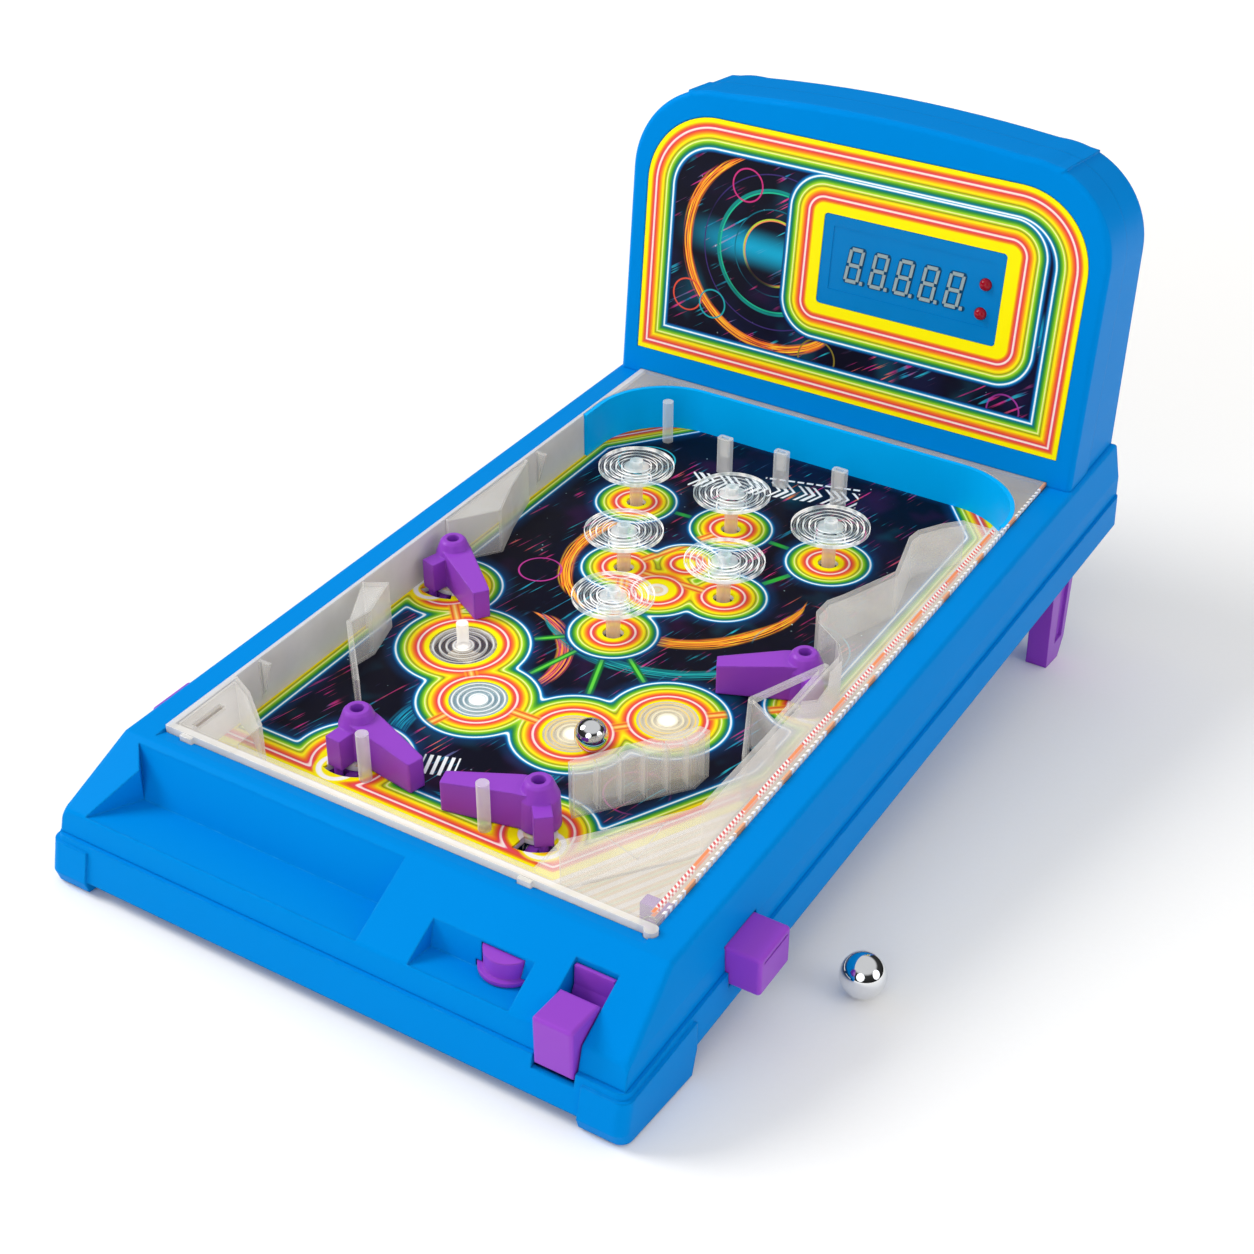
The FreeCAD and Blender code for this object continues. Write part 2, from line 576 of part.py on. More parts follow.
def flipper_button(side):
    inner, flange, wall_x = 133.2, 138.0, BUTTON_OUT
    cap = box(inner, wall_x, BUTTON_Y[0], BUTTON_Y[1], BUTTON_Z[0], BUTTON_Z[1])
    cap = rounded(cap, 1.8, lambda b: b.XMax > wall_x - 3 or b.XLength > 20)
    shoulder = box(inner, flange, BUTTON_Y[0] - 3, BUTTON_Y[1] + 3, BUTTON_Z[0] - 2.4, BUTTON_Z[1] + 3)
    groove = box(wall_x - 0.7, wall_x + 1, BUTTON_Y[0] + 3, BUTTON_Y[1] - 3, BUTTON_Z[1] - 3.4, BUTTON_Z[1] - 2.4)
    button = cap.fuse(shoulder).cut(groove).removeSplitter()
    if side < 0:
        button = button.mirror(V(0, 0, 0), V(1, 0, 0))
    return button


def spring_seat(side):
    flip = [f for f in FLIPPERS if f[6] == -side][0]
    x, y = polar(flip[1], flip[2], LUG_R, flip[5])
    return x - side * 8, y


def button_springs():
    springs = []
    for side in (-1, 1):
        x, y = spring_seat(side)
        springs.append(coil((x - side * 0.1, y, BASE_Z - 2.5), (-side, 0, 0), 2.1, 0.6, 19.6))
    return Part.makeCompound(springs)


def link_keepers():
    """Straps under the link bars, and the two end stops that the return springs push on."""
    keepers = []
    for side in (-1, 1):
        x, y = spring_seat(side)
        x0, x1 = sorted((x - side * 20, x - side * 23))
        keepers.append(box(x0, x1, y - 5, y + 5, BASE_Z - 5.2, BASE_Z))
        for cx in (side * 78.0,):
            strap = box(cx - 3, cx + 3, y - 10, y + 10, BASE_Z - 5.6, BASE_Z)
            keepers.append(strap.cut(box(cx - 9, cx + 9, y - 7.6, y + 7.6, BASE_Z - 4.0, BASE_Z + 1)))
    return Part.makeCompound(keepers)


# ---- launcher ---------------------------------------------------------------------------
def launch_lever():
    knob = [(-53.6, -36.6), (-53.9, -11.6), (-33.6, -13.4), (-33.6, -24.0), (-30.5, -26.4), (-26.8, -24.6),
            (-24.2, -19.0), (-23.6, -9.8), (-21.9, -9.8), (-21.9, -33.0), (-36.0, -33.0), (-36.0, -36.6)]
    lever = prism_x(knob, LEVER_X[0], LEVER_X[1])
    return rounded(lever, 1.5, lambda b: b.YMax < -33 and b.ZMin > -37 and (b.ZMin > -20 or b.YMax < -53))


def launch_plunger():
    rod = rod_y(ROD_X, ROD_Z, 3.0, -21.9, 20.0)
    head = box(ROD_X - 6.5, ROD_X + 6.5, 20.0, 27.0, FIELD_Z + 1.2, -9.5)
    return rod.fuse(rounded(head, 1.5, lambda b: b.YLength < 1 and b.YMax > 26.9))


def launch_spring():
    return coil((ROD_X, 2.3, ROD_Z), (0, 1, 0), 4.6, 1.0, 17.5)


def start_button():
    top, flange = start_button_shape(0)
    body = top.fuse(flange).removeSplitter()
    return body.common(box(40, 110, -60, START_Y + 6, -40, 0))


# ---- rear legs --------------------------------------------------------------------------
def leg(side):
    outline = [(LEG_Y - 13.5, -30.0), (LEG_Y + 13.5, -30.0), (LEG_Y + 15.5, -56.0), (LEG_Y + 14.0, -104.0),
               (LEG_Y + 8.0, table_z(LEG_Y + 8)), (LEG_Y - 9.5, table_z(LEG_Y - 9.5)), (LEG_Y - 13.5, -56.0)]
    x0, x1 = LEG_X
    body = prism_x(outline, x0, x1)
    groove = [(LEG_Y - 3.0, -54), (LEG_Y + 10.0, -54), (LEG_Y + 9.4, -102), (LEG_Y - 0.5, -102)]
    body = body.cut(prism_x(groove, x1 - 1.6, x1 + 1))
    body = body.cut(rod_x(LEG_Y, LEG_Z, 2.0 + RUNNING, x0 - 1, x1 + 1))
    if side < 0:
        body = body.mirror(V(0, 0, 0), V(1, 0, 0))
    return body


def leg_pins():
    pins = []
    for side in (-1, 1):
        x0, x1 = sorted((side * 122.8, side * 142.0))
        pins.append(rod_x(LEG_Y, LEG_Z, 2.0, x0, x1))
    return Part.makeCompound(pins)


# ---- backbox, drawn with x across, z up its face and y back from it ----------------------
def box_outline(inset, y0, y1, low=-12.0):
    """The backbox silhouette with its two rounded top corners and slightly arched top."""
    x, r = BOX_X - inset, BOX_R - inset
    top = BOX_H - inset - 4.0
    body = box(-x, x, y0, y1, low, top - r).fuse(box(-x + r, x - r, y0, y1, low, top))
    shapes = [body]
    for side in (-1, 1):
        shapes.append(rod_y(side * (x - r), top - r, r, y0, y1))
    crown_r = 900.0
    crown = rod_y(0, BOX_H - inset - crown_r, crown_r, y0, y1)
    shapes.append(crown.common(box(-x + r * 0.62, x - r * 0.62, y0, y1, top - 12, BOX_H)))
    return fuse(shapes)


def box_back_plane(inset):
    """Everything behind the sloping rear wall."""
    base, top = BOX_BASE_DEPTH - inset, BOX_TOP_DEPTH - inset
    return prism_x([(base + 1.0, -20), (top, BOX_H), (top - 1, BOX_H + 20), (200, BOX_H + 20), (200, -20)], -200, 200)


def seated(shape, floor=RIM_Z):
    """Place a backbox piece and trim it flush on the cabinet rim."""
    moved = shape.copy()
    moved.Placement = BOXED
    return moved.cut(box(-200, 200, 350, 560, -80, floor))


def in_box(shape):
    moved = shape.copy()
    moved.Placement = BOXED
    return moved


def panel_outline(y0, y1, grow=0.0):
    x, r, low, high = PANEL_X + grow, PANEL_R + grow, PANEL_LOW - grow, PANEL_HIGH + grow
    body = box(-x, x, y0, y1, low, high - r).fuse(box(-x + r, x - r, y0, y1, low, high))
    return fuse([body] + [rod_y(side * (x - r), high - r, r, y0, y1) for side in (-1, 1)])


def window_block(grow, y0, y1):
    """The display window's rounded outline, grown by a clearance, between two depths."""
    x0, x1, z0, z1 = WINDOW
    block = box(x0 - grow, x1 + grow, y0, y1, z0 - grow, z1 + grow)
    return rounded(block, WINDOW_R + grow, lambda b: b.YLength > 1 and b.XLength < 0.1 and b.ZLength < 0.1)


def backbox_front_shell():
    outer = box_outline(0, 0, BOX_SEAM)
    outer = rounded(outer, 3.0, lambda b: b.YMax < 0.01 and b.ZMax > -11.9)
    shell = outer.cut(box_outline(SKIN, SKIN, BOX_SEAM + 5, -30))
    shell = shell.cut(panel_outline(-1, 0.7, GAP))
    shell = shell.cut(window_block(WINDOW_GAP, -1, SKIN + 1))
    for x in (-60, 60):
        boss = rod_y(x, 40, 4.0, SKIN - 0.2, BOX_SEAM + 4)
        shell = shell.fuse(boss).cut(rod_y(x, 40, 1.4, 10, BOX_SEAM + 5))
    rebate = box(-FRAME_X - GAP, FRAME_X + GAP, FRAME_Y - 8, FRAME_Y + GAP, -10, 0.3)
    return seated(shell).cut(rebate)


def backbox_rear_shell():
    outer = box_outline(0.8, BOX_SEAM + 0.3, 90).cut(box_back_plane(0))
    inner = box_outline(0.8 + SKIN, BOX_SEAM - 5, 90, -30).cut(box_back_plane(SKIN))
    shell = outer.cut(inner)
    slots = [box(-95 + 9 * i, -91 + 9 * i, 30, 90, 82, 118) for i in range(6)]
    shell = shell.cut(fuse(slots))
    for x in (-60, 60):
        boss = rod_y(x, 40, 5.0, BOX_SEAM + 4.4, 70).cut(box_back_plane(1.0))
        shell = shell.fuse(boss).cut(rod_y(x, 40, 1.9, 20, 90)).cut(rod_y(x, 40, 3.4, BOX_SEAM + 20, 90))
    return seated(shell)


def backbox_screws():
    screws = []
    for x in (-60, 60):
        shank = rod_y(x, 40, 1.35, 14, BOX_SEAM + 20)
        screws.append(in_box(shank.fuse(rod_y(x, 40, 2.8, BOX_SEAM + 20, BOX_SEAM + 22))))
    return Part.makeCompound(screws)


def printed_panel():
    return in_box(panel_outline(0.1, 0.7).cut(window_block(WINDOW_GAP, -1, 5)))


def display_window():
    x0, x1, z0, z1 = WINDOW
    plate = window_block(0, 0.3, 2.2)
    recess = box(x0 + 6, x1 - 5, 0, WINDOW_DIP, z0 + 9, z1 - 6)
    holes = [rod_y(x, z, LED_R + 0.2, -1, 5) for x, z in STATUS_LEDS]
    return in_box(plate.cut(fuse(holes + [recess])))


STATUS_LEDS = [(75.4, 97.8), (74.8, 81.9)]
LED_R = 3.3


def status_leds():
    leds = []
    for x, z in STATUS_LEDS:
        dome = Part.makeSphere(LED_R, V(x, 0.9, z))
        leds.append(in_box(rod_y(x, z, LED_R, 0.9, 6.0).fuse(dome)))
    return Part.makeCompound(leds)


def digit_segments():
    """Five slanted seven-segment figures with their points, standing in the window's recess."""
    width, height, stroke, lean = 8.9, 19.6, 1.9, 0.13
    front, back = 0.1, WINDOW_DIP
    segments = []
    for digit in range(5):
        left = -4.4 + digit * 14.4
        base = 81.2
        rows = [0.0, (height - stroke) / 2, height - stroke]
        for row in rows:
            x0 = left + stroke * 0.75 + row * lean
            segments.append(box(x0, x0 + width - stroke * 1.5, front, back, base + row, base + row + stroke))
        for column in (0.0, width - stroke):
            foot, middle, end = stroke * 0.75, height / 2, height - stroke * 0.75
            for low, high in ((foot, middle - stroke / 2), (middle + stroke / 2, end)):
                lower = (left + column + low * lean, base + low)
                outline = [lower, (left + column + high * lean, base + high)]
                outline += [(x + stroke * 0.9, z) for x, z in reversed(outline)]
                segments.append(prism_y(outline, front, back))
        segments.append(box(left + width + 0.7, left + width + 2.4, front, back, base, base + stroke))
    return Part.makeCompound([in_box(s) for s in segments])


def digit_module():
    holes = [rod_y(x, z, LED_R + 0.3, 0, 12) for x, z in STATUS_LEDS]
    return in_box(box(-10, 80, 2.6, 10.0, 72, 112).cut(fuse(holes)))


def main_circuit_board():
    board = box(-20, 90, 12.0, 13.6, 62, 124)
    chips = [box(0, 22, 13.6, 16.4, 80, 92), box(40, 52, 13.6, 16.0, 98, 110), box(60, 68, 13.6, 24.0, 70, 78)]
    return in_box(fuse([board] + chips))


def speaker():
    cone = rod_y(-70, 100, 24.0, 36.0, 40.0)
    frame = cone.fuse(rod_y(-70, 100, 16.0, 29.0, 36.0)).fuse(rod_y(-70, 100, 11.0, 22.0, 29.0))
    return in_box(frame.removeSplitter())


def loom_run(grow=0.0):
    return box(-1.5 - grow, 1.5 + grow, 426.0 - grow, 429.0 + grow, -26.8, 64.0)


def wiring_loom():
    return loom_run()


# ---- battery compartment ----------------------------------------------------------------
CELL_R, CELL_L = 7.05, 49.0
CELL_Y = (417.6, 432.8, 448.0)
CELL_Z = PAN_Z + SKIN + 1.4 + CELL_R


def battery_box():
    outer = box(-31, 31, 408.8, 457.2, PAN_Z + SKIN + 0.3, CELL_Z + CELL_R + 2.2)
    inner = box(-28.8, 28.8, 410.0, 455.8, PAN_Z - 1, CELL_Z + CELL_R + 0.6)
    return outer.cut(inner)


def batteries():
    cells = []
    for index, y in enumerate(CELL_Y):
        nub = 25.5 if index % 2 else -25.5
        body = rod_x(y, CELL_Z, CELL_R, -CELL_L / 2, CELL_L / 2)
        low, high = sorted((nub, nub * 0.95))
        cells.append(body.fuse(rod_x(y, CELL_Z, 2.7, low, high)))
    return Part.makeCompound(cells)


def battery_contacts():
    plates = []
    for side in (-1, 1):
        x0, x1 = sorted((side * 27.6, side * 28.2))
        for y in CELL_Y:
            plates.append(box(x0, x1, y - 5, y + 5, CELL_Z - 5, CELL_Z + 5))
    return Part.makeCompound(plates)


def battery_door():
    panel = box(DOOR[0] + GAP, DOOR[1] - GAP, DOOR[2] + GAP, DOOR[3] - GAP, PAN_Z, PAN_Z + 2.0)
    grip = box(-9, 9, DOOR[2] + 3, DOOR[2] + 9, PAN_Z - 1, PAN_Z + 1.1)
    return panel.cut(grip)


# ---- balls ------------------------------------------------------------------------------
def game_ball():
    return Part.makeSphere(BALL_R, V(25.6, 112.2, FIELD_Z + BALL_R + 0.1))


def spare_ball():
    """The loose ball rests on the table, to the right of the cabinet."""
    turn = TABLE.inverse()
    spot = turn.multVec(V(SPARE_SPOT[0], SPARE_SPOT[1], SPARE_R))
    return Part.makeSphere(SPARE_R, spot)


def main():
    fixed = [upper_cabinet, lower_pan, foot_pads, case_screws, playfield_board, playfield_base, arch_wall,
             clear_frame, left_inlane_guide, upper_left_guide, right_inlane_guide, sling_guide, round_posts,
             square_posts, light_lenses, playfield_lamps, button_springs, bumper_springs, bumper_switch_board,
             flipper_pins, link_keepers, launch_lever, launch_plunger, launch_spring, start_button, leg_pins,
             backbox_front_shell, backbox_rear_shell, backbox_screws, printed_panel, display_window,
             status_leds, digit_segments,
             digit_module, main_circuit_board, speaker, wiring_loom, battery_box, batteries,
             battery_contacts, battery_door, game_ball, spare_ball]
    for maker in fixed:
        save(maker.__name__, maker())
    for index, place in enumerate(BUMPERS, 1):
        save("bumper_%d" % index, bumper(*place))
    for flip in FLIPPERS:
        save(flip[0], flipper(flip))
    for side, name in ((-1, "left"), (1, "right")):
        save("flipper_button_" + name, flipper_button(side))
        save("link_bar_" + name, link_bar(side))
        save("leg_" + name, leg(side))


main()
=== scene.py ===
"""Looks of a tabletop electronic pinball game: materials, printed artwork, wound springs, floor,
light and camera.

Two flat systems, both in millimetres, place the artwork on the model.  The playfield's has x to
the right and y up the slope, from the middle of the clear frame's front edge.  The backbox
face's has x to the right and s up the face, from the foot of the face.
"""
import math

import bpy
from mathutils import Matrix, Vector


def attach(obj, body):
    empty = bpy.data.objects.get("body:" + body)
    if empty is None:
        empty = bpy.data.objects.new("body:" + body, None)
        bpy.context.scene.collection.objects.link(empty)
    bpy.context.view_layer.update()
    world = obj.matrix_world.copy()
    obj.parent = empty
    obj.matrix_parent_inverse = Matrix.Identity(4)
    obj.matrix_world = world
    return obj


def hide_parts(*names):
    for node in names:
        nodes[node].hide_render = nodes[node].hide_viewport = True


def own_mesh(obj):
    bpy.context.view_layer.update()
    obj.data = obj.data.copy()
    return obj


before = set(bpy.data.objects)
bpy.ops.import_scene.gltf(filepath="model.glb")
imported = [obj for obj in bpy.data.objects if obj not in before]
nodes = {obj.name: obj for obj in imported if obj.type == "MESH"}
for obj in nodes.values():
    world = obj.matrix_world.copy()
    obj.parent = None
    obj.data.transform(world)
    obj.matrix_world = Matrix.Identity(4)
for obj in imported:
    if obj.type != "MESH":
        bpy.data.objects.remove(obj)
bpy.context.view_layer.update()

MM = 0.001
# ---- where the two flat systems lie ----------------------------------------------------------
TILT = math.radians(7.0)             # slope of the playfield
LIFT = 63.5                          # height of the playfield's origin, on the clear frame's top
FACE_TILT = math.radians(0.92)       # lean of the backbox face from upright
FACE_Y, FACE_Z = 400.0, 112.6        # foot of the backbox face

# ---- playfield layout ------------------------------------------------------------------------
AXIS_X = -14.0                       # centre line of the playing area
# x and y of each bumper, with x from the centre line
BUMPERS = [(-57.5, 310.5), (0.0, 313.0), (59.5, 310.0), (-28.7, 251.0), (29.2, 253.0), (-1.5, 197.0)]
BUMPER_HALO = 23.0                   # radius of the ring printed round each bumper
BUMPER_RIDGES = (8.0, 11.1, 14.2, 17.3, 20.4)        # radii of the rings moulded on each disc
# x, y, lens radius and printed halo of each lamp, with x from the centre line
LENSES = [(-58.0, 149.3, 16.5, 34.0), (-26.0, 116.5, 14.0, 30.5),
          (26.3, 117.5, 14.0, 30.5), (58.0, 149.3, 14.5, 30.5)]
# x, y and radius of the printed halos with nothing on them, of those round the flippers, and of
# the printed rims round the flippers' drive slots
SPARE_HALOS = [(-16.6, 270.1, 20.0), (-16.8, 241.1, 25.0)]
FLIPPER_HALOS = [(-62.0, 48.0, 30.0), (38.0, 50.0, 28.0), (-108.0, 188.0, 28.0), (95.0, 193.0, 22.0)]
DRIVE_SLOTS = [(-64.1, 41.1, 8.5), (44.5, 45.1, 8.5), (-114.5, 182.0, 8.5), (98.1, 190.4, 8.5)]
GREEN_LINKS = [(0, 1), (1, 2), (0, 3), (2, 4), (1, 4)]       # pairs of bumpers
# x and y of both ends
ORANGE_LINKS = [(-72.0, 149.3, -40.0, 116.5), (-40.0, 116.5, 12.3, 117.5), (12.3, 117.5, 44.0, 149.3),
                (-108.0, 188.0, -72.0, 149.3), (44.0, 149.3, 95.0, 193.0), (-42.7, 251.0, -15.5, 197.0),
                (15.2, 253.0, -42.7, 251.0), (-14.0, 313.0, -42.7, 251.0), (-62.0, 48.0, -40.0, 116.5)]
LANE_WALL = 104.0                    # the launch lane starts here
LANE_MIDDLE = 113.0
BARS = (-26.0, 66.0)                 # middle of the patch of five plain bars
BARS_ALONG = (0.94, 0.34)            # direction of the row of bars
BANNER = (-14.0, 361.0)              # middle of the row of chevrons at the head
BANNER_ALONG = (0.96, 0.28)          # direction of the row of chevrons
# centre x and y, radius and colour of the thin drawn circles
PLAYFIELD_CIRCLES = [(38.0, 340.0, 13.0, "d23a8c"), (-78.0, 226.0, 11.0, "c23a9a"),
                     (60.0, 262.0, 8.0, "e04a6a"), (-90.0, 352.0, 16.0, "2cb6c8"),
                     (70.0, 232.0, 24.0, "1f8fa8"), (60.0, 96.0, 15.0, "b83a9a")]
# centre, radius, breadth, colours, seed and the directions in degrees where each crescent is fullest
PLAYFIELD_CRESCENTS = [
    ((-10.0, 264.0), 64.0, 6.4, ("7a1a20", "f0602a", "f9b02a", "ffe23c"), 7.0, (188.0, 310.0)),
    ((-62.0, 152.0), 40.0, 7.0, ("5a1040", "c2307a", "f0803a", "f9c23c"), 31.0, (30.0,)),
    ((-4.0, 250.0), 76.0, 6.0, ("04343c", "0a6e78", "12909a", "2fc0b0"), 53.0, (285.0,)),
    ((-20.0, 90.0), 40.0, 9.0, ("04343c", "0a5e88", "1290b8", "2fc0d0"), 12.0, (200.0, 330.0)),
]

# ---- backbox face ----------------------------------------------------------------------------
PANEL = (-128.0, 128.0, 13.8, 153.0)             # left, right, low and high sides
PANEL_R = 41.0
BORDER = 17.4                        # width of the striped border
WINDOW_FRAME = (-40.2, 107.3, 45.2, 136.5)
WINDOW_FRAME_R = 21.0
WINDOW_DEPTH = 15.8                  # the stripes stop this far inside the window's printed edge
DIGITS = 5
DIGIT_LEFT, DIGIT_BASE, DIGIT_PITCH = -4.4, 81.2, 14.4
DIGIT_LEAN = 0.13
DIGIT_MARGIN = 1.0                   # room for the outline to the left of a figure
DIGIT_BARS = (0.95, 9.8, 18.65)      # heights of the level segments
DIGIT_POSTS = (0.95, 7.95)           # places of the upright segments
DIGIT_DOT = (11.2, 0.9)
ORBIT = (-46.7, 87.0)                # centre of the ringed planet
# radius, width and colour of the rings round it
ORBIT_RINGS = [(34.5, 1.3, "0f8a84"), (33.2, 0.8, "1db890"), (18.5, 0.9, "b7d23a"),
               (17.9, 0.6, "f08a5a"), (24.0, 0.6, "0d6478"), (43.0, 0.6, "3a2a6a")]
ORBIT_CRESCENT = (54.0, 4.6, ("b02a3a", "f0602a", "f9a02a", "ffe23c"), 3.0, (165.0, 215.0, 275.0))
FACE_CIRCLES = [(-66.0, 121.0, 9.0, "c8327a"), (-98.0, 52.0, 9.0, "e0503a"), (-82.0, 50.0, 8.0, "1fa0a8"),
                (95.0, 33.0, 9.0, "a03a9a"), (-15.0, 34.0, 11.0, "8a7a2a")]


# ---- colours ---------------------------------------------------------------------------------
def srgb(text):
    """Linear RGBA from a six-digit display colour."""
    channels = [int(text[i:i + 2], 16) / 255 for i in (0, 2, 4)]
    return [c / 12.92 if c <= 0.04045 else ((c + 0.055) / 1.055) ** 2.4 for c in channels] + [1.0]


# Bands of the printed neon lines, by distance in mm beyond the edge of the dark sky.
NEON = [(-1.6, "07123a"), (-0.7, "04336b"), (0.1, "0872b4"), (0.55, "2fa8dc"), (0.8, "f0fbff"),
        (1.35, "f4fdff"), (1.65, "1795b8"), (2.3, "0a7080"), (3.0, "2a8638"), (3.9, "5cac2a"),
        (4.9, "a8dc26"), (5.4, "fbfca8"), (5.9, "c8e02a"), (6.6, "8f8d1e"), (7.1, "e9cf12"),
        (7.9, "fff21a"), (8.7, "fdc010"), (9.5, "f7872a"), (10.4, "ef5a2c"), (11.2, "e03a55"),
        (11.7, "ffd9cf"), (12.3, "fff0e8"), (12.7, "e84a66"), (13.7, "e6552e"), (14.6, "f89a1e"),
        (15.3, "fff000"), (18.5, "fff400"), (20.5, "f9a52e"), (23.0, "f6c65a")]


# ---- shader building -------------------------------------------------------------------------
class Value:
    """An output of a shader graph; arithmetic on it adds Math nodes."""

    def __init__(self, graph, socket):
        self.graph, self.socket = graph, socket

    def __add__(self, other): return self.graph.math("ADD", self, other)
    def __radd__(self, other): return self.graph.math("ADD", other, self)
    def __sub__(self, other): return self.graph.math("SUBTRACT", self, other)
    def __rsub__(self, other): return self.graph.math("SUBTRACT", other, self)
    def __mul__(self, other): return self.graph.math("MULTIPLY", self, other)
    def __rmul__(self, other): return self.graph.math("MULTIPLY", other, self)
    def __abs__(self): return self.graph.math("ABSOLUTE", self)


class Graph:
    """The node graph of one material, around its Principled shader."""

    def __init__(self, name, **plain):
        self.material = bpy.data.materials.new(name)
        self.material.use_nodes = True
        self.tree = self.material.node_tree
        self.shader = self.tree.nodes["Principled BSDF"]
        for socket, value in plain.items():
            self.shader.inputs[socket.replace("_", " ").title().replace("Ior", "IOR")].default_value = value
        self.place = self.node("ShaderNodeTexCoord", out="Object")

    def node(self, kind, inputs=(), out=0, **settings):
        made = self.tree.nodes.new(kind)
        for key, value in settings.items():
            setattr(made, key, value)
        for key, value in dict(inputs).items():
            self.feed(made.inputs[key], value)
        return Value(self, made.outputs[out])

    def feed(self, socket, value):
        if isinstance(value, Value):
            self.tree.links.new(value.socket, socket)
        else:
            socket.default_value = value

    def math(self, operation, *args, clamp=False):
        return self.node("ShaderNodeMath", enumerate(args), operation=operation, use_clamp=clamp)

    def clamped(self, value):
        """The value held between 0 and 1."""
        return self.math("MULTIPLY", value, 1.0, clamp=True)

    def most(self, *values, blend=0.0):
        """Largest of several values, with corners eased over blend."""
        result = values[0]
        for value in values[1:]:
            args = (result, value, blend) if blend else (result, value)
            result = self.math("SMOOTH_MAX" if blend else "MAXIMUM", *args)
        return result

    def least(self, *values):
        result = values[0]
        for value in values[1:]:
            result = self.math("MINIMUM", result, value)
        return result

    def vector(self, operation, *args, out=0):
        return self.node("ShaderNodeVectorMath", enumerate(args), out=out, operation=operation)

    def along(self, axis, offset):
        """Position measured along an axis given in mm per metre, less an offset in mm."""
        return self.vector("DOT_PRODUCT", self.place, axis, out="Value") - offset

    def flat(self, x, y):
        return self.node("ShaderNodeCombineXYZ", {0: x, 1: y})

    def distance(self, point, x, y):
        return self.vector("DISTANCE", point, (x, y, 0.0), out="Value")

    def segment(self, point, x0, y0, x1, y1):
        """Distance from a point to the line between two places."""
        start, run = Vector((x0, y0, 0.0)), Vector((x1 - x0, y1 - y0, 0.0))
        away = self.vector("SUBTRACT", point, start)
        share = self.vector("DOT_PRODUCT", away, run / run.length_squared, out="Value")
        share = self.clamped(share)
        foot = self.node("ShaderNodeVectorMath", {0: run, "Scale": share}, operation="SCALE")
        return self.vector("LENGTH", self.vector("SUBTRACT", away, foot), out="Value")

    def turned(self, point, centre, along):
        """Position along a direction from a centre, and across it."""
        away = self.vector("SUBTRACT", point, (*centre, 0.0))
        return (self.vector("DOT_PRODUCT", away, (along[0], along[1], 0.0), out="Value"),
                self.vector("DOT_PRODUCT", away, (-along[1], along[0], 0.0), out="Value"))

    def rounded_box(self, x, y, sides, radius, square_foot=False):
        """Depth inside a round-cornered rectangle, negative outside."""
        left, right, low, high = sides
        across = abs(x - (left + right) / 2) - ((right - left) / 2 - radius)
        if square_foot:
            up = y - (high - radius)
        else:
            up = abs(y - (low + high) / 2) - ((high - low) / 2 - radius)
        corner = self.vector("LENGTH", self.flat(self.most(across, 0.0), self.most(up, 0.0)), out="Value")
        outside = corner + self.least(self.most(across, up), 0.0) - radius
        return self.math("MULTIPLY", self.most(outside, low - y) if square_foot else outside, -1.0)

    def step(self, value, low, high):
        """0 below low and 1 above high, eased between them."""
        return self.node("ShaderNodeMapRange", {0: value, 1: low, 2: high}, interpolation_type="SMOOTHSTEP")

    def line(self, distance, width):
        """1 on a line of this width, fading at its edges."""
        return 1.0 - self.step(distance, width * 0.35, width * 0.75)

    def ramp(self, value, stops):
        low, high = stops[0][0], stops[-1][0]
        ramp = self.tree.nodes.new("ShaderNodeValToRGB")
        self.feed(ramp.inputs[0], (value - low) * (1 / (high - low)))
        elements = ramp.color_ramp.elements
        while len(elements) < len(stops):
            elements.new(0.5)
        for element, (position, colour) in zip(elements, stops):
            element.position = (position - low) / (high - low)
            element.color = srgb(colour)
        return Value(self, ramp.outputs[0])

    def mix(self, share, below, above, blend_type="MIX"):
        made = self.tree.nodes.new("ShaderNodeMix")
        made.data_type, made.blend_type = "RGBA", blend_type
        for index, value in ((0, share), (6, below), (7, above)):
            self.feed(made.inputs[index], srgb(value) if isinstance(value, str) else value)
        return Value(self, made.outputs[2])

    def noise(self, scale, detail=2.0, place=None, stretch=None, roughness=0.5):
        place = place or self.place
        if stretch:
            place = self.vector("MULTIPLY", place, stretch)
        return self.node("ShaderNodeTexNoise", {"Vector": place, "Scale": scale, "Detail": detail,
                                                "Roughness": roughness})

    def bump(self, height, strength, distance, normal=None):
        inputs = {"Strength": strength, "Distance": distance, "Height": height}
        if normal:
            inputs["Normal"] = normal
        return self.node("ShaderNodeBump", inputs)

    def eased_edges(self, radius):
        """Normal with rounded corners, and how closely it agrees with the true one."""
        rounded = self.node("ShaderNodeBevel", {"Radius": radius}, samples=4)
        true = self.node("ShaderNodeNewGeometry", out="Normal")
        return rounded, self.vector("DOT_PRODUCT", rounded, true, out="Value")

    def set(self, **sockets):
        for name, value in sockets.items():
            self.feed(self.shader.inputs[name.replace("_", " ").title()], value)
        return self

    def playfield(self):
        """x and y up the playfield, and the two as a flat point."""
        x = self.along((1000.0, 0.0, 0.0), 0.0)
        y = self.along((0.0, 1000 * math.cos(TILT), 1000 * math.sin(TILT)), LIFT * math.sin(TILT))
        return x, y, self.flat(x, y)

    def face(self):
        """x and s up the backbox face, and the two as a flat point."""
        sine, cosine = math.sin(FACE_TILT), math.cos(FACE_TILT)
        x = self.along((1000.0, 0.0, 0.0), 0.0)
        s = self.along((0.0, -1000 * sine, 1000 * cosine), FACE_Z * cosine - FACE_Y * sine)
        return x, s, self.flat(x, s)


def placed(spot):
    """x and y of a bumper or lens whose x is stated from the centre line."""
    return AXIS_X + spot[0], spot[1]


def scaled(colour, factor):
    return [channel * factor for channel in colour[:3]] + [1.0]


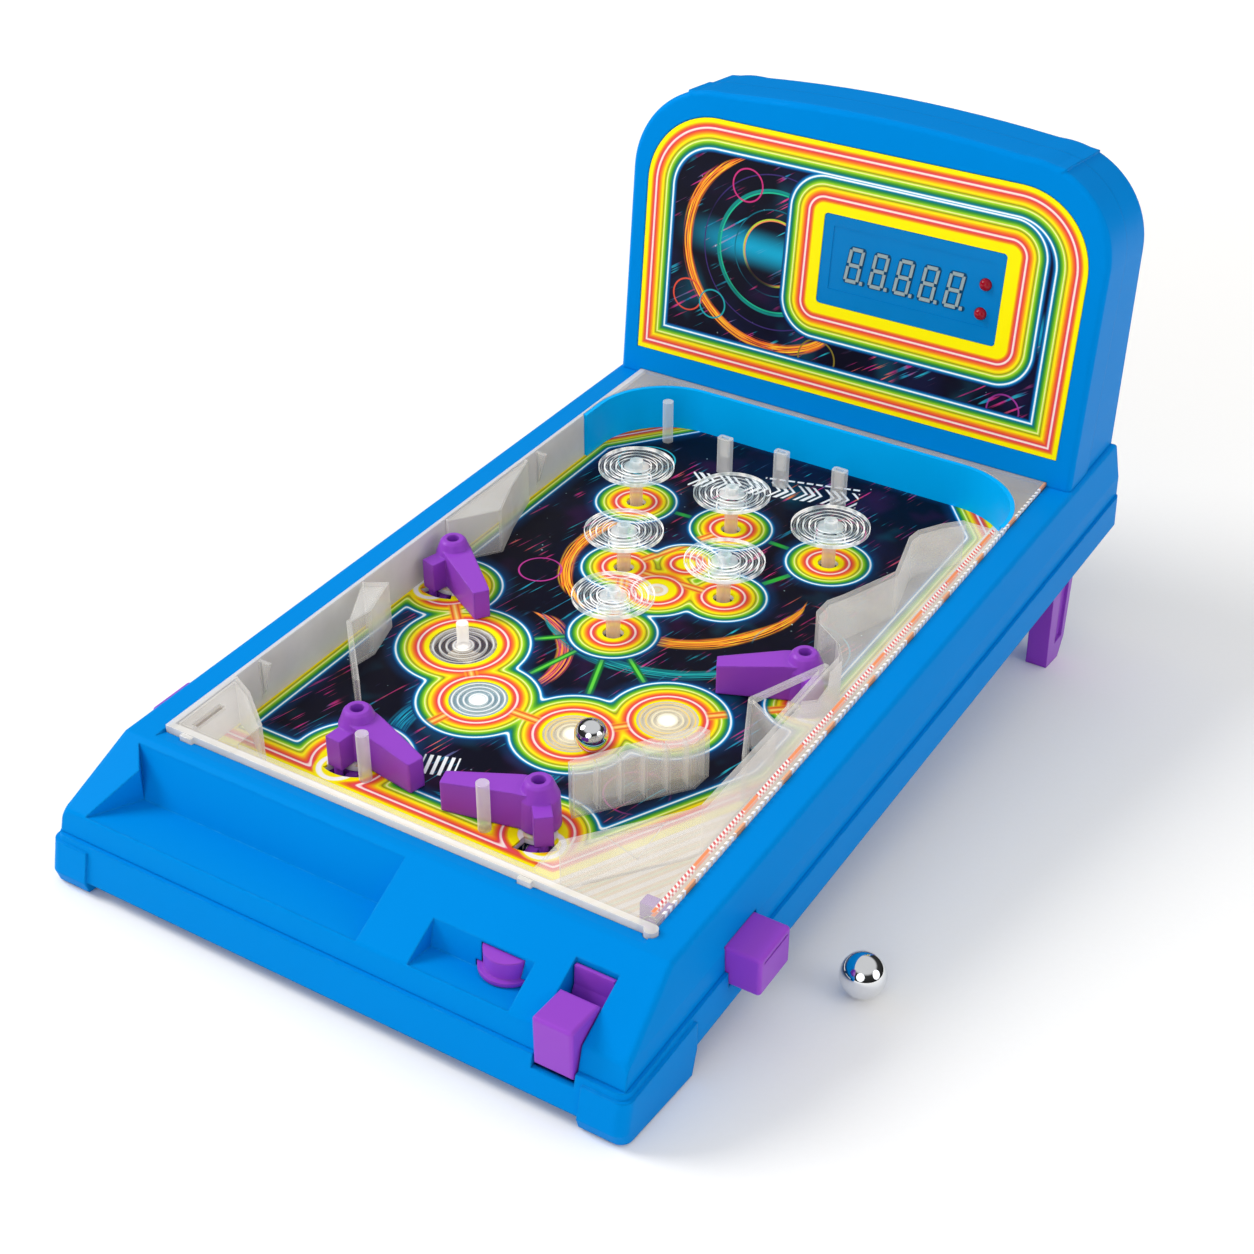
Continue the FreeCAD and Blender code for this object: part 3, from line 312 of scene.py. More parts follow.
def moulded(name, colour, worn_edge_highlight, roughness=0.38, mottle=0.05, edge=0.0005, **plain):
    """Injection-moulded plastic: slow tone drift, fine spark-eroded grain, paler edges in patches that are
    part wear and part painted highlight.
    """
    g = Graph(name, **plain)
    drift = g.noise(14.0, 3.0)
    grain = g.noise(2600.0, 2.0)
    flow = g.noise(55.0, 4.0, stretch=(1.0, 0.25, 1.0))
    rounded, agreement = g.eased_edges(edge)
    # paler patches along the edges: part wear from rubbing, part painted highlight where the edges catch the
    # light
    rub_and_edge_highlight = g.step(agreement, 0.995, 0.8) * g.step(g.noise(160.0, 3.0), 0.35, 0.75)
    tone = g.mix(drift, scaled(colour, 1 - mottle), scaled(colour, 1 + mottle))
    return g.set(base_color=g.mix(rub_and_edge_highlight * 0.55, tone, worn_edge_highlight),
                 roughness=roughness + (flow - 0.5) * 0.12 + (grain - 0.5) * 0.08,
                 normal=g.bump(grain, 0.10, 0.00003, g.bump(flow, 0.06, 0.0006, rounded))).material


# ---- playfield artwork -----------------------------------------------------------------------
def space(g, point, angle, seed):
    """Dark printed sky: navy ground, coloured clouds, slanting light streaks and stars."""
    turned = g.node("ShaderNodeMapping", {"Vector": point, "Location": (seed, -seed, seed),
                                          "Rotation": (0.0, 0.0, angle)})
    cloud = g.noise(0.022, 3.0, turned)
    tint = g.noise(0.030, 2.0, turned)
    sky = g.mix(g.step(cloud, 0.45, 0.75), "08081c", "101538")
    sky = g.mix(g.step(tint, 0.58, 0.78) * 0.45, sky, "0b5a72")
    sky = g.mix(g.step(tint, 0.42, 0.25) * 0.45, sky, "3c1046")
    streak = g.noise(0.7, 1.0, turned, stretch=(0.05, 1.0, 1.0))
    which = g.noise(0.06, 1.0, turned)
    glow = g.ramp(which, [(0.30, "2cc4d8"), (0.45, "1f7fae"), (0.52, "c02a86"), (0.60, "e2408a"),
                          (0.72, "f08a3a")])
    fade = g.step(g.noise(0.045, 2.0, turned), 0.44, 0.62)
    sky = g.mix(g.step(streak, 0.61, 0.67) * fade * 0.85, sky, glow)
    spots = g.node("ShaderNodeTexVoronoi", {"Vector": point, "Scale": 0.13}, out="Distance")
    return g.mix(g.step(spots, 0.075, 0.03) * g.step(which, 0.45, 0.60), sky, "bfe6f2")


def drawn_circles(g, picture, point, circles, fade):
    """Thin circles, from the centre, radius and colour of each."""
    for x, y, radius, colour in circles:
        picture = g.mix(g.line(abs(g.distance(point, x, y) - radius), 0.8) * fade, picture, colour)
    return picture


def crescent(g, picture, point, centre, radius, breadth, colours, seed, aims):
    """Brush-like crescents of several strands along a circle, fullest where it faces each of aims."""
    wander = g.noise(0.018, 2.0, g.vector("ADD", point, (seed, seed, 0.0)))
    away = g.vector("SUBTRACT", point, (*centre, 0.0))
    reach = g.vector("LENGTH", away, out="Value") - radius
    turns = [math.radians(aim) for aim in aims]
    ways = [(math.cos(turn) / radius, math.sin(turn) / radius, 0.0) for turn in turns]
    facing = g.most(*[g.vector("DOT_PRODUCT", away, way, out="Value") for way in ways])
    full = g.step(facing, 0.50, 0.98)
    strand = g.noise(1.1, 2.0, g.flat(reach, wander * 6.0))
    body = g.line(abs(reach + (wander - 0.5) * 6.0), full * breadth + 0.2)
    paint = g.ramp(strand, [(0.30, colours[0]), (0.46, colours[1]), (0.54, colours[2]), (0.68, colours[3])])
    return g.mix(body * g.step(strand, 0.36, 0.47) * g.step(full, 0.0, 0.15), picture, paint)


def chevron_banner(g, point):
    """Where the row of plain chevrons and the dashes beside it lie."""
    u, v = g.turned(point, BANNER, BANNER_ALONG)
    row = abs(g.math("FRACT", (u + abs(v) * 0.7) * (1 / 15.0)) - 0.5)
    chevrons = g.step(row, 0.34, 0.31) * g.most(g.step(row, 0.20, 0.23), g.step(row, 0.09, 0.07))
    chevrons = chevrons * g.step(abs(v), 8.0, 7.6) * g.step(abs(u), 47.0, 46.5)
    dashes = g.step(g.math("PINGPONG", u, 2.6), 0.6, 0.9)
    dashes = dashes * g.line(abs(v - 11.5), 1.5) * g.step(abs(u - 20.0), 27.0, 26.5)
    return g.most(chevrons, dashes)


def halftone(g, picture, point, share):
    """The picture under a faint printing screen, and the screen itself."""
    screen = g.noise(1.9, 1.0, point)
    return g.mix(share, picture, g.mix(screen, "9a9a9a", "ffffff"), "MULTIPLY"), screen


def playfield_sky(g, point):
    """The dark inner part of the playfield print, with its crescents, circles, links and marks."""
    fade = g.step(g.noise(0.03, 2.0, point), 0.35, 0.55)
    dark = space(g, point, math.radians(-76.0), 40.0)
    for settings in PLAYFIELD_CRESCENTS:
        dark = crescent(g, dark, point, *settings)
    dark = drawn_circles(g, dark, point, PLAYFIELD_CIRCLES, fade)
    for a, b in GREEN_LINKS:
        gap = g.segment(point, *placed(BUMPERS[a]), *placed(BUMPERS[b]))
        dark = g.mix(g.line(gap, 2.6), dark, "2fae3c")
    for lens in LENSES:
        gap = g.segment(point, *placed(BUMPERS[-1]), *placed(lens))
        dark = g.mix(g.line(gap, 3.4), dark, "16742e")
        dark = g.mix(g.line(gap, 1.4), dark, "5fd040")
    u, v = g.turned(point, BARS, BARS_ALONG)
    bars = g.step(g.math("PINGPONG", u, 1.7), 0.75, 1.0) * g.step(abs(u), 8.6, 8.3) * g.step(abs(v), 7.0, 6.7)
    dark = g.mix(bars, dark, "f2f6f8")
    return g.mix(chevron_banner(g, point), dark, "eef3f6")


def playfield_print():
    g = Graph("playfield_print", specular_ior_level=0.08)
    x, y, point = g.playfield()
    halos = [BUMPER_HALO - g.distance(point, *placed(bumper)) for bumper in BUMPERS]
    halos += [lens[3] - g.distance(point, *placed(lens)) for lens in LENSES]
    halos += [radius - g.distance(point, hx, hy) for hx, hy, radius in FLIPPER_HALOS + SPARE_HALOS]
    edges = [x * -1.0 - 115.0, y - 399.0, 47.0 - y, x - 96.0,
             x * 0.885 - y * 0.466 - 21.0, y * 0.62 - x * 0.785 - 309.0, y * 0.62 + x * 0.785 - 305.0]
    depth = g.most(g.most(*halos, blend=5.0), g.most(*edges, blend=2.0), blend=4.0)

    picture = g.mix(g.step(depth, -1.5, -0.6), playfield_sky(g, point), g.ramp(depth, NEON))
    dark_glow = g.step(depth, -7.0, -0.5) * g.step(depth, 0.4, -0.5)
    picture = g.mix(dark_glow * 0.45, picture, "0a3f70")
    for ends in ORANGE_LINKS:
        gap = g.segment(point, *ends)
        picture = g.mix(g.line(gap, 5.4) * g.step(depth, 13.0, 10.0) * g.step(depth, 1.6, 4.0), picture,
                        g.ramp(gap, [(0.0, "fbe27a"), (0.9, "f6a03a"), (1.8, "e4522c"), (2.8, "f9b424")]))
    for sx, sy, radius in DRIVE_SLOTS:
        rim = abs(g.distance(point, sx, sy) - radius)
        picture = g.mix(g.line(rim, 4.6), picture, "fff000")
        picture = g.mix(g.line(rim, 2.2), picture, "fdfdf6")
    # beyond the neon border the print pales into cream with soft stripes
    stripe = g.math("PINGPONG", depth, 3.4)
    pale = g.mix(g.step(stripe, 1.0, 1.5), "f0ebe0", "e8d0a8")
    pale = g.mix(g.step(stripe, 2.6, 3.1), pale, "dde2ba")
    in_lane = g.step(x, LANE_WALL - 0.6, LANE_WALL)
    pale = g.mix(in_lane, pale, g.mix(g.line(abs(x - LANE_MIDDLE), 9.0) * 0.4, "ece2cf", "efc4a0"))
    picture = g.mix(g.most(g.step(depth, 19.0, 19.6), in_lane), picture, pale)
    picture, screen = halftone(g, picture, point, 0.10)
    return g.set(base_color=picture, roughness=0.30 + screen * 0.08,
                 normal=g.bump(g.noise(900.0, 2.0), 0.05, 0.00004)).material


# ---- backbox artwork -------------------------------------------------------------------------
def backglass_print():
    g = Graph("backglass_print", specular_ior_level=0.1)
    x, s, point = g.face()
    rim = BORDER - g.rounded_box(x, s, PANEL, PANEL_R, square_foot=True)
    window = g.least(g.rounded_box(x, s, WINDOW_FRAME, WINDOW_FRAME_R), WINDOW_DEPTH)
    depth = g.most(rim, window)

    dark = space(g, point, math.radians(-35.0), 12.0)
    beam = g.step(abs(s - ORBIT[1] + (x - ORBIT[0]) * 0.05), 13.0, 0.0) * g.step(x, -112.0, -62.0)
    dark = g.mix(beam * 0.9, dark, "10a8d0")
    reach = g.distance(point, *ORBIT)
    fade = g.step(g.noise(0.02, 2.0, point), 0.30, 0.50)
    for radius, width, colour in ORBIT_RINGS:
        dark = g.mix(g.line(abs(reach - radius), width) * fade, dark, colour)
    dark = crescent(g, dark, point, ORBIT, *ORBIT_CRESCENT)
    dark = drawn_circles(g, dark, point, FACE_CIRCLES, fade)

    picture = g.mix(g.step(depth, -1.5, -0.6), dark, g.ramp(depth, NEON))
    picture, screen = halftone(g, picture, point, 0.08)
    return g.set(base_color=picture, roughness=0.26 + screen * 0.08,
                 normal=g.bump(g.noise(700.0, 2.0), 0.04, 0.00004)).material


# ---- clear mouldings -------------------------------------------------------------------------
RAIL_X = 120.4                       # middle of the striped line along the lane's outer rail
RAIL_OUTER_X = 124.0                 # the dashed border outside it starts here
RAIL_ENDS = (8.0, 350.0)
STRIPE_PITCH = 41.0                  # length after which the pattern of the rail repeats


def clear_moulding(name, body, thin, thick, printed=False):
    """Frosted clear styrene: see-through face on, milky where the eye meets it edge on, and glowing faintly
    in its own colour as painted light.
    """
    # the faint emission in the moulding's own colour is painted light, a glow that brightens the milky
    # plastic
    g = Graph(name, specular_ior_level=0.6, emission_strength=0.03)
    rim = g.node("ShaderNodeLayerWeight", {"Blend": 0.42}, out="Facing")
    cloud = g.noise(60.0, 3.0)
    frost = g.noise(1500.0, 2.0)
    rounded, agreement = g.eased_edges(0.0006)
    colour = g.mix(cloud, body, "fdfcfa")
    alpha = thin + g.step(rim, 0.35, 1.0) * (thick - thin) + (cloud - 0.5) * 0.08
    alpha = alpha + g.step(agreement, 0.99, 0.80) * 0.35
    if printed:
        x, y, _ = g.playfield()
        started = g.step(y, RAIL_ENDS[0], RAIL_ENDS[0] + 1.0)
        turns = y * (1 / STRIPE_PITCH)
        hatch = g.step(g.math("PINGPONG", y + x * 0.7, 1.3), 0.5, 0.8)
        bar = g.step(g.math("FRACT", turns), 0.30, 0.28)
        inner = g.line(abs(x - RAIL_X), 1.6) * started * g.step(y, RAIL_ENDS[1], RAIL_ENDS[1] - 1.0)
        colour = g.mix(inner, colour, g.mix(g.most(bar, hatch), "fbf6f0", g.mix(bar, "d6454a", "ec8a54")))
        dash = g.step(g.math("PINGPONG", y - x * 0.5, 1.9), 0.7, 1.0)
        block = g.step(g.math("FRACT", turns + 0.35), 0.20, 0.18)
        outer = g.step(x, RAIL_OUTER_X - 0.4, RAIL_OUTER_X) * started * g.most(dash, block)
        colour = g.mix(outer, colour, g.mix(block, "ffffff", "f0a878"))
        # the bands along the frame's front, left and rear rims are painted whiter and more opaque: a painted
        # highlight on the lip
        border = g.most(g.step(y, 3.4, 2.8), g.step(x * -1.0, 121.6, 122.2), g.step(y, 403.6, 404.2))
        colour = g.mix(border * 0.5, colour, "f6f5f2")
        alpha = alpha + inner * 0.7 + outer * 0.6 + border * 0.3
    return g.set(base_color=colour, emission_color=colour, alpha=g.clamped(alpha),
                 roughness=0.10 + frost * 0.14, normal=g.bump(frost, 0.05, 0.00004, rounded)).material


def bumper_moulding():
    """Clear bumpers: turned rings on the disc painted white and glowing as a highlight, brighter in patches,
    and a milky stem that glows faintly, see-through between.
    """
    g = Graph("bumper_moulding", specular_ior_level=0.6)
    _, _, point = g.playfield()
    reach = g.least(*[g.distance(point, *placed(bumper)) for bumper in BUMPERS])
    height = g.along((0.0, -1000 * math.sin(TILT), 1000 * math.cos(TILT)), LIFT * math.cos(TILT))
    waver = (g.noise(0.09, 2.0, point) - 0.5) * 0.8
    rings = g.most(*[g.line(abs(reach + waver - ridge), 0.62) for ridge in BUMPER_RIDGES])
    # a fainter ring lies half-way from each ridge to the next
    faint = g.most(*[g.line(abs(reach - waver - ridge - 1.55), 0.4) for ridge in BUMPER_RIDGES[:-1]])
    # patches where the bumpers are painted whiter: a painted highlight
    shine = g.step(g.noise(0.11, 2.0, g.vector("ADD", point, (17.0, 5.0, 0.0))), 0.38, 0.62)
    stem = g.step(reach, 7.2, 6.4)
    low = g.step(height, -11.0, -20.0)
    colour = g.mix(stem * low, g.mix(shine, "cfe4ea", "ffffff"), "f2c9a4")
    alpha = 0.03 + rings * (shine * 0.5 + 0.34) + faint * 0.16 + stem * 0.48
    # the rings, the fainter rings and the stem glow white: painted highlight on the rings and painted glow on
    # the stem, though no lamp lights them
    return g.set(base_color=colour, alpha=g.clamped(alpha), roughness=0.06 + g.noise(1200.0) * 0.1,
                 emission_color=g.mix(g.most(rings, faint * 0.4, stem * 0.25), "000000", "ffffff"),
                 emission_strength=0.22).material


def lens_moulding():
    """Lamp lenses with turned rings, white in the two on the left and yellow in the others, and a white spot
    at the centre that is a painted highlight; the spot and the rings glow as painted light, with no lamp
    shining in them.
    """
    g = Graph("lens_moulding", specular_ior_level=0.7)
    x, _, point = g.playfield()
    reach = g.least(*[g.distance(point, *placed(lens)) * (1 / lens[2]) for lens in LENSES])
    rings = g.step(g.math("PINGPONG", reach * 15.0, 1.5), 0.9, 1.25)
    # white spot at each lens centre: a painted highlight
    painted_centre_highlight = g.step(reach, 0.42, 0.04)
    # where the first lens from the left lies, and where the first two do
    first, first_two = g.step(x, -55.0, -57.0), g.step(x, -13.0, -15.0)
    between = g.mix(first, g.mix(first_two, "fbf3dc", "a9c6d0"), "8a7a72")
    line = g.mix(g.most(first, first_two), g.mix(g.step(reach, 0.45, 0.75), "f4e9c0", "f6cf3c"), "f6fafa")
    alpha = 0.50 - first * 0.28 + painted_centre_highlight * 0.5 + rings * 0.25
    # painted light: the centre spot and the rings glow though no lamp shines in the lenses
    return g.set(base_color=g.mix(painted_centre_highlight, g.mix(rings, between, line), "ffffff"), alpha=g.clamped(alpha),
                 roughness=0.08 + g.noise(1200.0) * 0.08,
                 emission_color=g.mix(g.most(painted_centre_highlight, rings * 0.25), "000000", "fffaf0"),
                 emission_strength=0.55).material


def window_moulding():
    """Display window: glossy blue, with a dark outline round each segment of the figures."""
    g = Graph("window_moulding", specular_ior_level=0.08)
    x, s, _ = g.face()
    rise = s - DIGIT_BASE
    across = x - DIGIT_LEFT - rise * DIGIT_LEAN + DIGIT_MARGIN
    run = g.math("FRACT", across * (1 / DIGIT_PITCH)) * DIGIT_PITCH - DIGIT_MARGIN
    spot = g.flat(run, rise)
    near = g.least(*[g.segment(spot, 1.4, bar, 7.5, bar) for bar in DIGIT_BARS],
                   *[g.segment(spot, post, 1.6, post, 18.0) for post in DIGIT_POSTS],
                   g.distance(spot, *DIGIT_DOT))
    width = DIGIT_PITCH * DIGITS
    inside = g.step(across, 0.0, 0.1) * g.step(across, width, width - 0.1)
    outline = g.step(near, 1.75, 1.35) * inside
    drift = g.noise(30.0, 2.0)
    colour = g.mix(outline * 0.85, g.mix(drift, "0072b6", "007cc4"), "0a3858")
    return g.set(base_color=colour, roughness=0.16 + drift * 0.06,
                 normal=g.bump(g.noise(900.0), 0.04, 0.00003)).material


# ---- metals, boards, cells, floor ------------------------------------------------------------
def metal(name, colour, roughness, scratch, stretch=None):
    """Bright metal with a slow haze and fine scratches, drawn out along the stretch."""
    g = Graph(name, metallic=1.0)
    lines = g.noise(420.0, 3.0, stretch=stretch)
    haze = g.noise(90.0, 3.0)
    return g.set(base_color=g.mix(haze, scaled(colour, 0.92), colour),
                 roughness=roughness + haze * roughness * 0.5,
                 normal=g.bump(lines, scratch, 0.00004)).material


def circuit_card():
    """Green resist over etched copper tracks, with tinned pads."""
    g = Graph("circuit_card", coat_weight=0.3, coat_roughness=0.15)
    drawn_out = g.vector("MULTIPLY", g.place, (1.0, 0.35, 1.0))
    tracks = g.node("ShaderNodeTexBrick", {"Vector": drawn_out, "Scale": 300.0, "Mortar Size": 0.06},
                    out="Fac")
    pads = g.node("ShaderNodeTexVoronoi", {"Vector": g.place, "Scale": 220.0}, out="Distance")
    card = g.mix(tracks * 0.6, "0e5a2c", "2f8a46")
    card = g.mix(g.step(pads, 0.16, 0.10), card, "c9c6b8")
    return g.set(base_color=card, roughness=0.35 + g.noise(500.0) * 0.1,
                 normal=g.bump(tracks, 0.15, 0.00006)).material


def battery_jacket():
    """Printed sleeve with a plain metallic band at one end of each cell."""
    g = Graph("battery_jacket", coat_weight=0.4, coat_roughness=0.08)
    band = g.step(g.math("FRACT", g.along((1000.0, 0.0, 0.0), 0.0) * (1 / 52.0)), 0.30, 0.32)
    sleeve = g.mix(band, "b87333", "20242a")
    wear = g.noise(240.0, 4.0)
    return g.set(base_color=g.mix(g.step(wear, 0.62, 0.72) * 0.3, sleeve, "8a8a8a"),
                 roughness=0.22 + wear * 0.15, metallic=(1.0 - band) * 0.8).material


def floor_paper():
    """White paper that glows a little far from the object, so that it fades into the backdrop."""
    g = Graph("studio_floor", roughness=0.75, specular_ior_level=0.15)
    fibre = g.noise(350.0, 3.0)
    away = g.vector("LENGTH", g.place, out="Value")
    return g.set(emission_color=[1.0, 1.0, 1.0, 1.0], emission_strength=g.step(away, 0.5, 2.4) * 0.32,
                 base_color=g.mix(fibre, "faf9f7", "fdfcfa"), normal=g.bump(fibre, 0.03, 0.0001)).material


AZURE_TINT = (0.05, 0.5, 1.0, 1.0)
VIOLET_TINT = (0.8, 0.5, 1.0, 1.0)

# finish of each material slot of the CAD
# the second colour of each moulded finish is its paler edge colour, part wear and part painted highlight
FINISH = {
    "blue_plastic": moulded("azure_plastic", srgb("0082d3"), "2a9ae6", 0.36, 0.03, 0.0012,
                            specular_ior_level=0.02, specular_tint=AZURE_TINT),
    "purple_plastic": moulded("violet_plastic", srgb("8f40c0"), "a864d4", 0.33, 0.05, 0.0012,
                              specular_ior_level=0.35, specular_tint=VIOLET_TINT),
    "clear_plastic": clear_moulding("clear_moulding", "e6e2dc", 0.25, 0.64, printed=True),
    "lens_plastic": lens_moulding(),
    "printed_card": playfield_print(),
    "printed_backglass": backglass_print(),
    "window_plastic": window_moulding(),
    "white_plastic": moulded("white_plastic", srgb("ecece8"), "fafafa", 0.42),
    "black_plastic": moulded("black_plastic", srgb("17181b"), "3a3b3e", 0.5),
    "rubber_pad": moulded("rubber_pad", srgb("2a2b2d"), "4a4a4a", 0.85, 0.15, 0.0003),
    "screw_steel": metal("screw_steel", srgb("b9bcc0"), 0.28, 0.25, (1.0, 1.0, 0.1)),
    "spring_steel": metal("spring_steel", srgb("a9adb2"), 0.22, 0.2, (0.2, 1.0, 1.0)),
    "circuit_board": circuit_card(),
    "red_lens": moulded("red_lens", srgb("920820"), "c02840", 0.12, edge=0.0004, specular_ior_level=0.25),
    "digit_white": moulded("digit_segments", srgb("8ea2a8"), "a9bcc0", 0.4, edge=0.0002,
                           specular_ior_level=0.3),
    "lamp_white": moulded("lamp_white", srgb("fff4dc"), "ffffff", 0.2, coat_weight=0.5),
    "wire_cover": moulded("wire_cover", srgb("23262b"), "4a4d52", 0.55, 0.2, 0.0003),
    "battery_jacket": battery_jacket(),
    "ball_chrome": metal("ball_chrome", srgb("e9ebee"), 0.035, 0.02),
}
# pieces whose finish differs from the rest of their slot
BUMPER_CLEAR = bumper_moulding()
POST_CLEAR = clear_moulding("post_clear", "efefec", 0.34, 0.75)
SPECIAL = {"bumper_%d" % number: BUMPER_CLEAR for number in range(1, len(BUMPERS) + 1)}
SPECIAL["round_posts"] = SPECIAL["square_posts"] = POST_CLEAR
# the arch wall gets a brighter copy of the blue plastic: painted light for the light falling on the arch
SPECIAL["arch_wall"] = moulded("arch_plastic_lit_copy", srgb("00b2ff"), "3abef6", 0.34, 0.02,
                               specular_ior_level=0.1, specular_tint=AZURE_TINT)

for name, node in nodes.items():
    finish = node.material_slots[0].material.name.split(".")[0]
    node.material_slots[0].material = SPECIAL.get(name, FINISH[finish])

# ---- wound springs ---------------------------------------------------------------------------
SPRING_Z = -32.2                     # height of the button springs in the playfield's system
BUTTON_COIL = (19.6, 10, 2.1, 0.6)   # length, number of turns, outer radius and wire thickness
LAUNCH_COIL = (17.5, 6, 4.6, 1.0)
SPRINGS = [                          # name, node replaced, foot, direction, coil, joint, share of length kept
    ("left_button_coil", "button_springs", (-36.41, 41.66, SPRING_Z), (-1.0, 0.0), BUTTON_COIL,
     "left_button_press", 0.58),
    ("right_button_coil", "button_springs", (16.74, 45.11, SPRING_Z), (1.0, 0.0), BUTTON_COIL,
     "right_button_press", 0.58),
    ("launch_coil", "launch_spring", (114.0, 2.3, -18.0), (0.0, 1.0), LAUNCH_COIL, "launch_pull", 0.42),
]
STEPS_PER_COIL, WIRE_SIDES = 22, 8
FLAT_COILS = 0.9                     # turns at each end that lie nearly flat
FLAT_RISE = 0.04                     # share of the length that rises evenly over all the turns


def on_table(x, y, z):
    """A point of the playfield's system, in mm, as a place in the scene."""
    sine, cosine = math.sin(TILT), math.cos(TILT)
    return Vector((x, y * cosine - z * sine, y * sine + z * cosine + LIFT)) * MM


def wound_spring(name, node, foot, direction, coil, joint, keep):
    """A coil of round wire with closed ends, from its fixed foot along a direction in the playfield."""
    length, coils, radius, wire = coil
    along = Vector((*direction, 0.0))
    across = Vector((-direction[1], direction[0], 0.0))
    up = Vector((0.0, 0.0, 1.0))
    arm, half = radius - wire / 2, wire / 2
    steps = coils * STEPS_PER_COIL
    points, faces = [], []
    for step in range(steps + 1):
        share = step / steps
        eased = min(max((share * coils - FLAT_COILS) / (coils - 2 * FLAT_COILS), 0.0), 1.0)
        travel = half + (length - wire) * (FLAT_RISE * share + (1 - FLAT_RISE) * eased)
        turn = share * coils * math.tau
        outward = across * math.cos(turn) + up * math.sin(turn)
        for side in range(WIRE_SIDES):
            angle = side / WIRE_SIDES * math.tau
            place = along * (travel + half * math.sin(angle)) + outward * (arm + half * math.cos(angle))
            points.append(on_table(*(Vector(foot) + place)))
    for step in range(steps):
        for side in range(WIRE_SIDES):
            beside = (side + 1) % WIRE_SIDES
            near, far = step * WIRE_SIDES, (step + 1) * WIRE_SIDES
            faces.append((near + side, far + side, far + beside, near + beside))
    faces.append(tuple(range(WIRE_SIDES)))
    faces.append(tuple(reversed(range(steps * WIRE_SIDES, (steps + 1) * WIRE_SIDES))))
    mesh = bpy.data.meshes.new(name)
    mesh.from_pydata(points, [], faces)
    mesh.shade_smooth()
    mesh.materials.append(FINISH["spring_steel"])
    piece = bpy.data.objects.new(name, mesh)
    bpy.context.scene.collection.objects.link(piece)
    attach(piece, "cabinet")
    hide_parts(node)
    on_table(*along) - on_table(0, 0, 0)
    on_table(*foot)
    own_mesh(piece)


for spring in SPRINGS:
    wound_spring(*spring)

# ---- floor, light and camera -----------------------------------------------------------------
FLOOR_HALF, FLOOR_Z = 6.0, -0.0002
FLOOR_CORNERS = [(-FLOOR_HALF, -FLOOR_HALF, FLOOR_Z), (FLOOR_HALF, -FLOOR_HALF, FLOOR_Z),
                 (FLOOR_HALF, FLOOR_HALF, FLOOR_Z), (-FLOOR_HALF, FLOOR_HALF, FLOOR_Z)]
floor_mesh = bpy.data.meshes.new("studio_floor")
floor_mesh.from_pydata(FLOOR_CORNERS, [], [(0, 1, 2, 3)])
floor = bpy.data.objects.new("studio_floor", floor_mesh)
floor_mesh.materials.append(floor_paper())
bpy.context.scene.collection.objects.link(floor)

LIGHTS_AIM = (0.0, 0.22, 0.06)       # the middle of the object
LIGHTS = [                           # name, place, width of the disc, power
    ("key_softbox", (-1.7, -0.5, 1.5), 1.1, 34.0),
    ("front_fill", (0.5, -2.0, 0.9), 1.6, 11.0),
    ("side_fill", (2.0, 0.3, 0.8), 1.4, 8.0),
]


def area_light(name, place, width, power):
    lamp = bpy.data.lights.new(name, "AREA")
    lamp.shape, lamp.size, lamp.energy = "DISK", width, power
    made = bpy.data.objects.new(name, lamp)
    made.location = place
    made.rotation_euler = (Vector(LIGHTS_AIM) - Vector(place)).to_track_quat("-Z", "Y").to_euler()
    bpy.context.scene.collection.objects.link(made)


for light in LIGHTS:
    area_light(*light)

# brightness of the surroundings, by height from level (0) to overhead (1)
MATT_SKY = ((0.0, 0.35), (0.5, 1.0))                     # as it lights matt surfaces
MIRROR_SKY = ((0.10, 0.03), (0.54, 0.06), (0.68, 1.0))   # as glossy surfaces mirror it
BACKDROP = 1.3                                           # behind the object
SKY_STRENGTH = 0.72


def grey(level):
    return (level, level, level, 1.0)


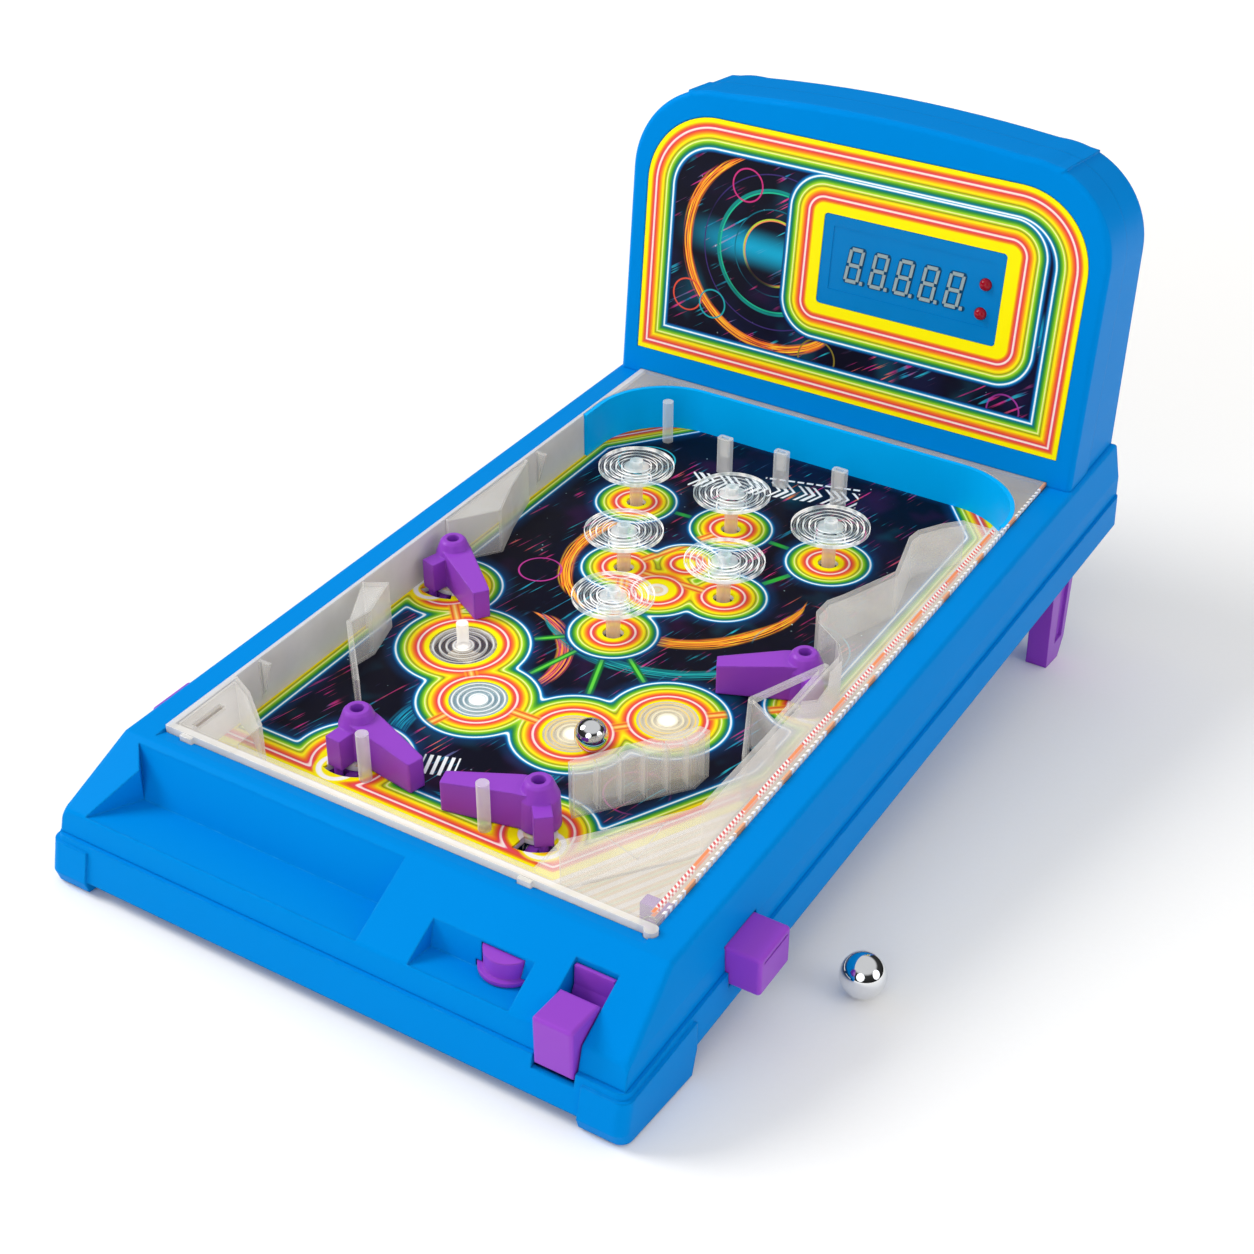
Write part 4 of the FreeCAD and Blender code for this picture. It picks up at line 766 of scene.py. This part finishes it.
def sky_shade(tree, elevation, stops):
    shade = tree.nodes.new("ShaderNodeValToRGB")
    tree.links.new(elevation, shade.inputs[0])
    elements = shade.color_ramp.elements
    while len(elements) < len(stops):
        elements.new(0.5)
    for element, (position, level) in zip(elements, stops):
        element.position, element.color = position, grey(level)
    return shade.outputs[0]


def sky_choice(tree, share, otherwise):
    """Mix node that shows its second colour to one kind of ray, and the first to the others."""
    made = tree.nodes.new("ShaderNodeMix")
    made.data_type = "RGBA"
    tree.links.new(share, made.inputs[0])
    tree.links.new(otherwise, made.inputs[6])
    return made


world = bpy.data.worlds.new("studio")
world.use_nodes = True
sky = world.node_tree
background = sky.nodes["Background"]
direction = sky.nodes.new("ShaderNodeTexCoord")
parts = sky.nodes.new("ShaderNodeSeparateXYZ")
sky.links.new(direction.outputs["Generated"], parts.inputs[0])
ray = sky.nodes.new("ShaderNodeLightPath")
mirrored = sky_choice(sky, ray.outputs["Is Glossy Ray"], sky_shade(sky, parts.outputs["Z"], MATT_SKY))
sky.links.new(sky_shade(sky, parts.outputs["Z"], MIRROR_SKY), mirrored.inputs[7])
behind = sky_choice(sky, ray.outputs["Is Camera Ray"], mirrored.outputs[2])
behind.inputs[7].default_value = grey(BACKDROP)
sky.links.new(behind.outputs[2], background.inputs["Color"])
background.inputs["Strength"].default_value = SKY_STRENGTH
bpy.context.scene.world = world
bpy.context.scene.view_settings.view_transform = "Standard"

CAMERA_AT = Vector((0.4219, -0.5631, 0.5371))
CAMERA_RIGHT = Vector((0.8513, 0.5205, 0.0652))
CAMERA_UP = Vector((-0.2964, 0.3746, 0.8785))
FOCAL_LENGTH, SENSOR_WIDTH, CLIP_START = 58.18, 36.0, 0.02
camera_data = bpy.data.cameras.new("camera")
camera_data.lens, camera_data.sensor_width, camera_data.clip_start = FOCAL_LENGTH, SENSOR_WIDTH, CLIP_START
camera = bpy.data.objects.new("camera", camera_data)
axes = Matrix((CAMERA_RIGHT, CAMERA_UP, CAMERA_RIGHT.cross(CAMERA_UP))).transposed()
camera.matrix_world = Matrix.Translation(CAMERA_AT) @ axes.to_4x4()
bpy.context.scene.collection.objects.link(camera)
bpy.context.scene.camera = camera
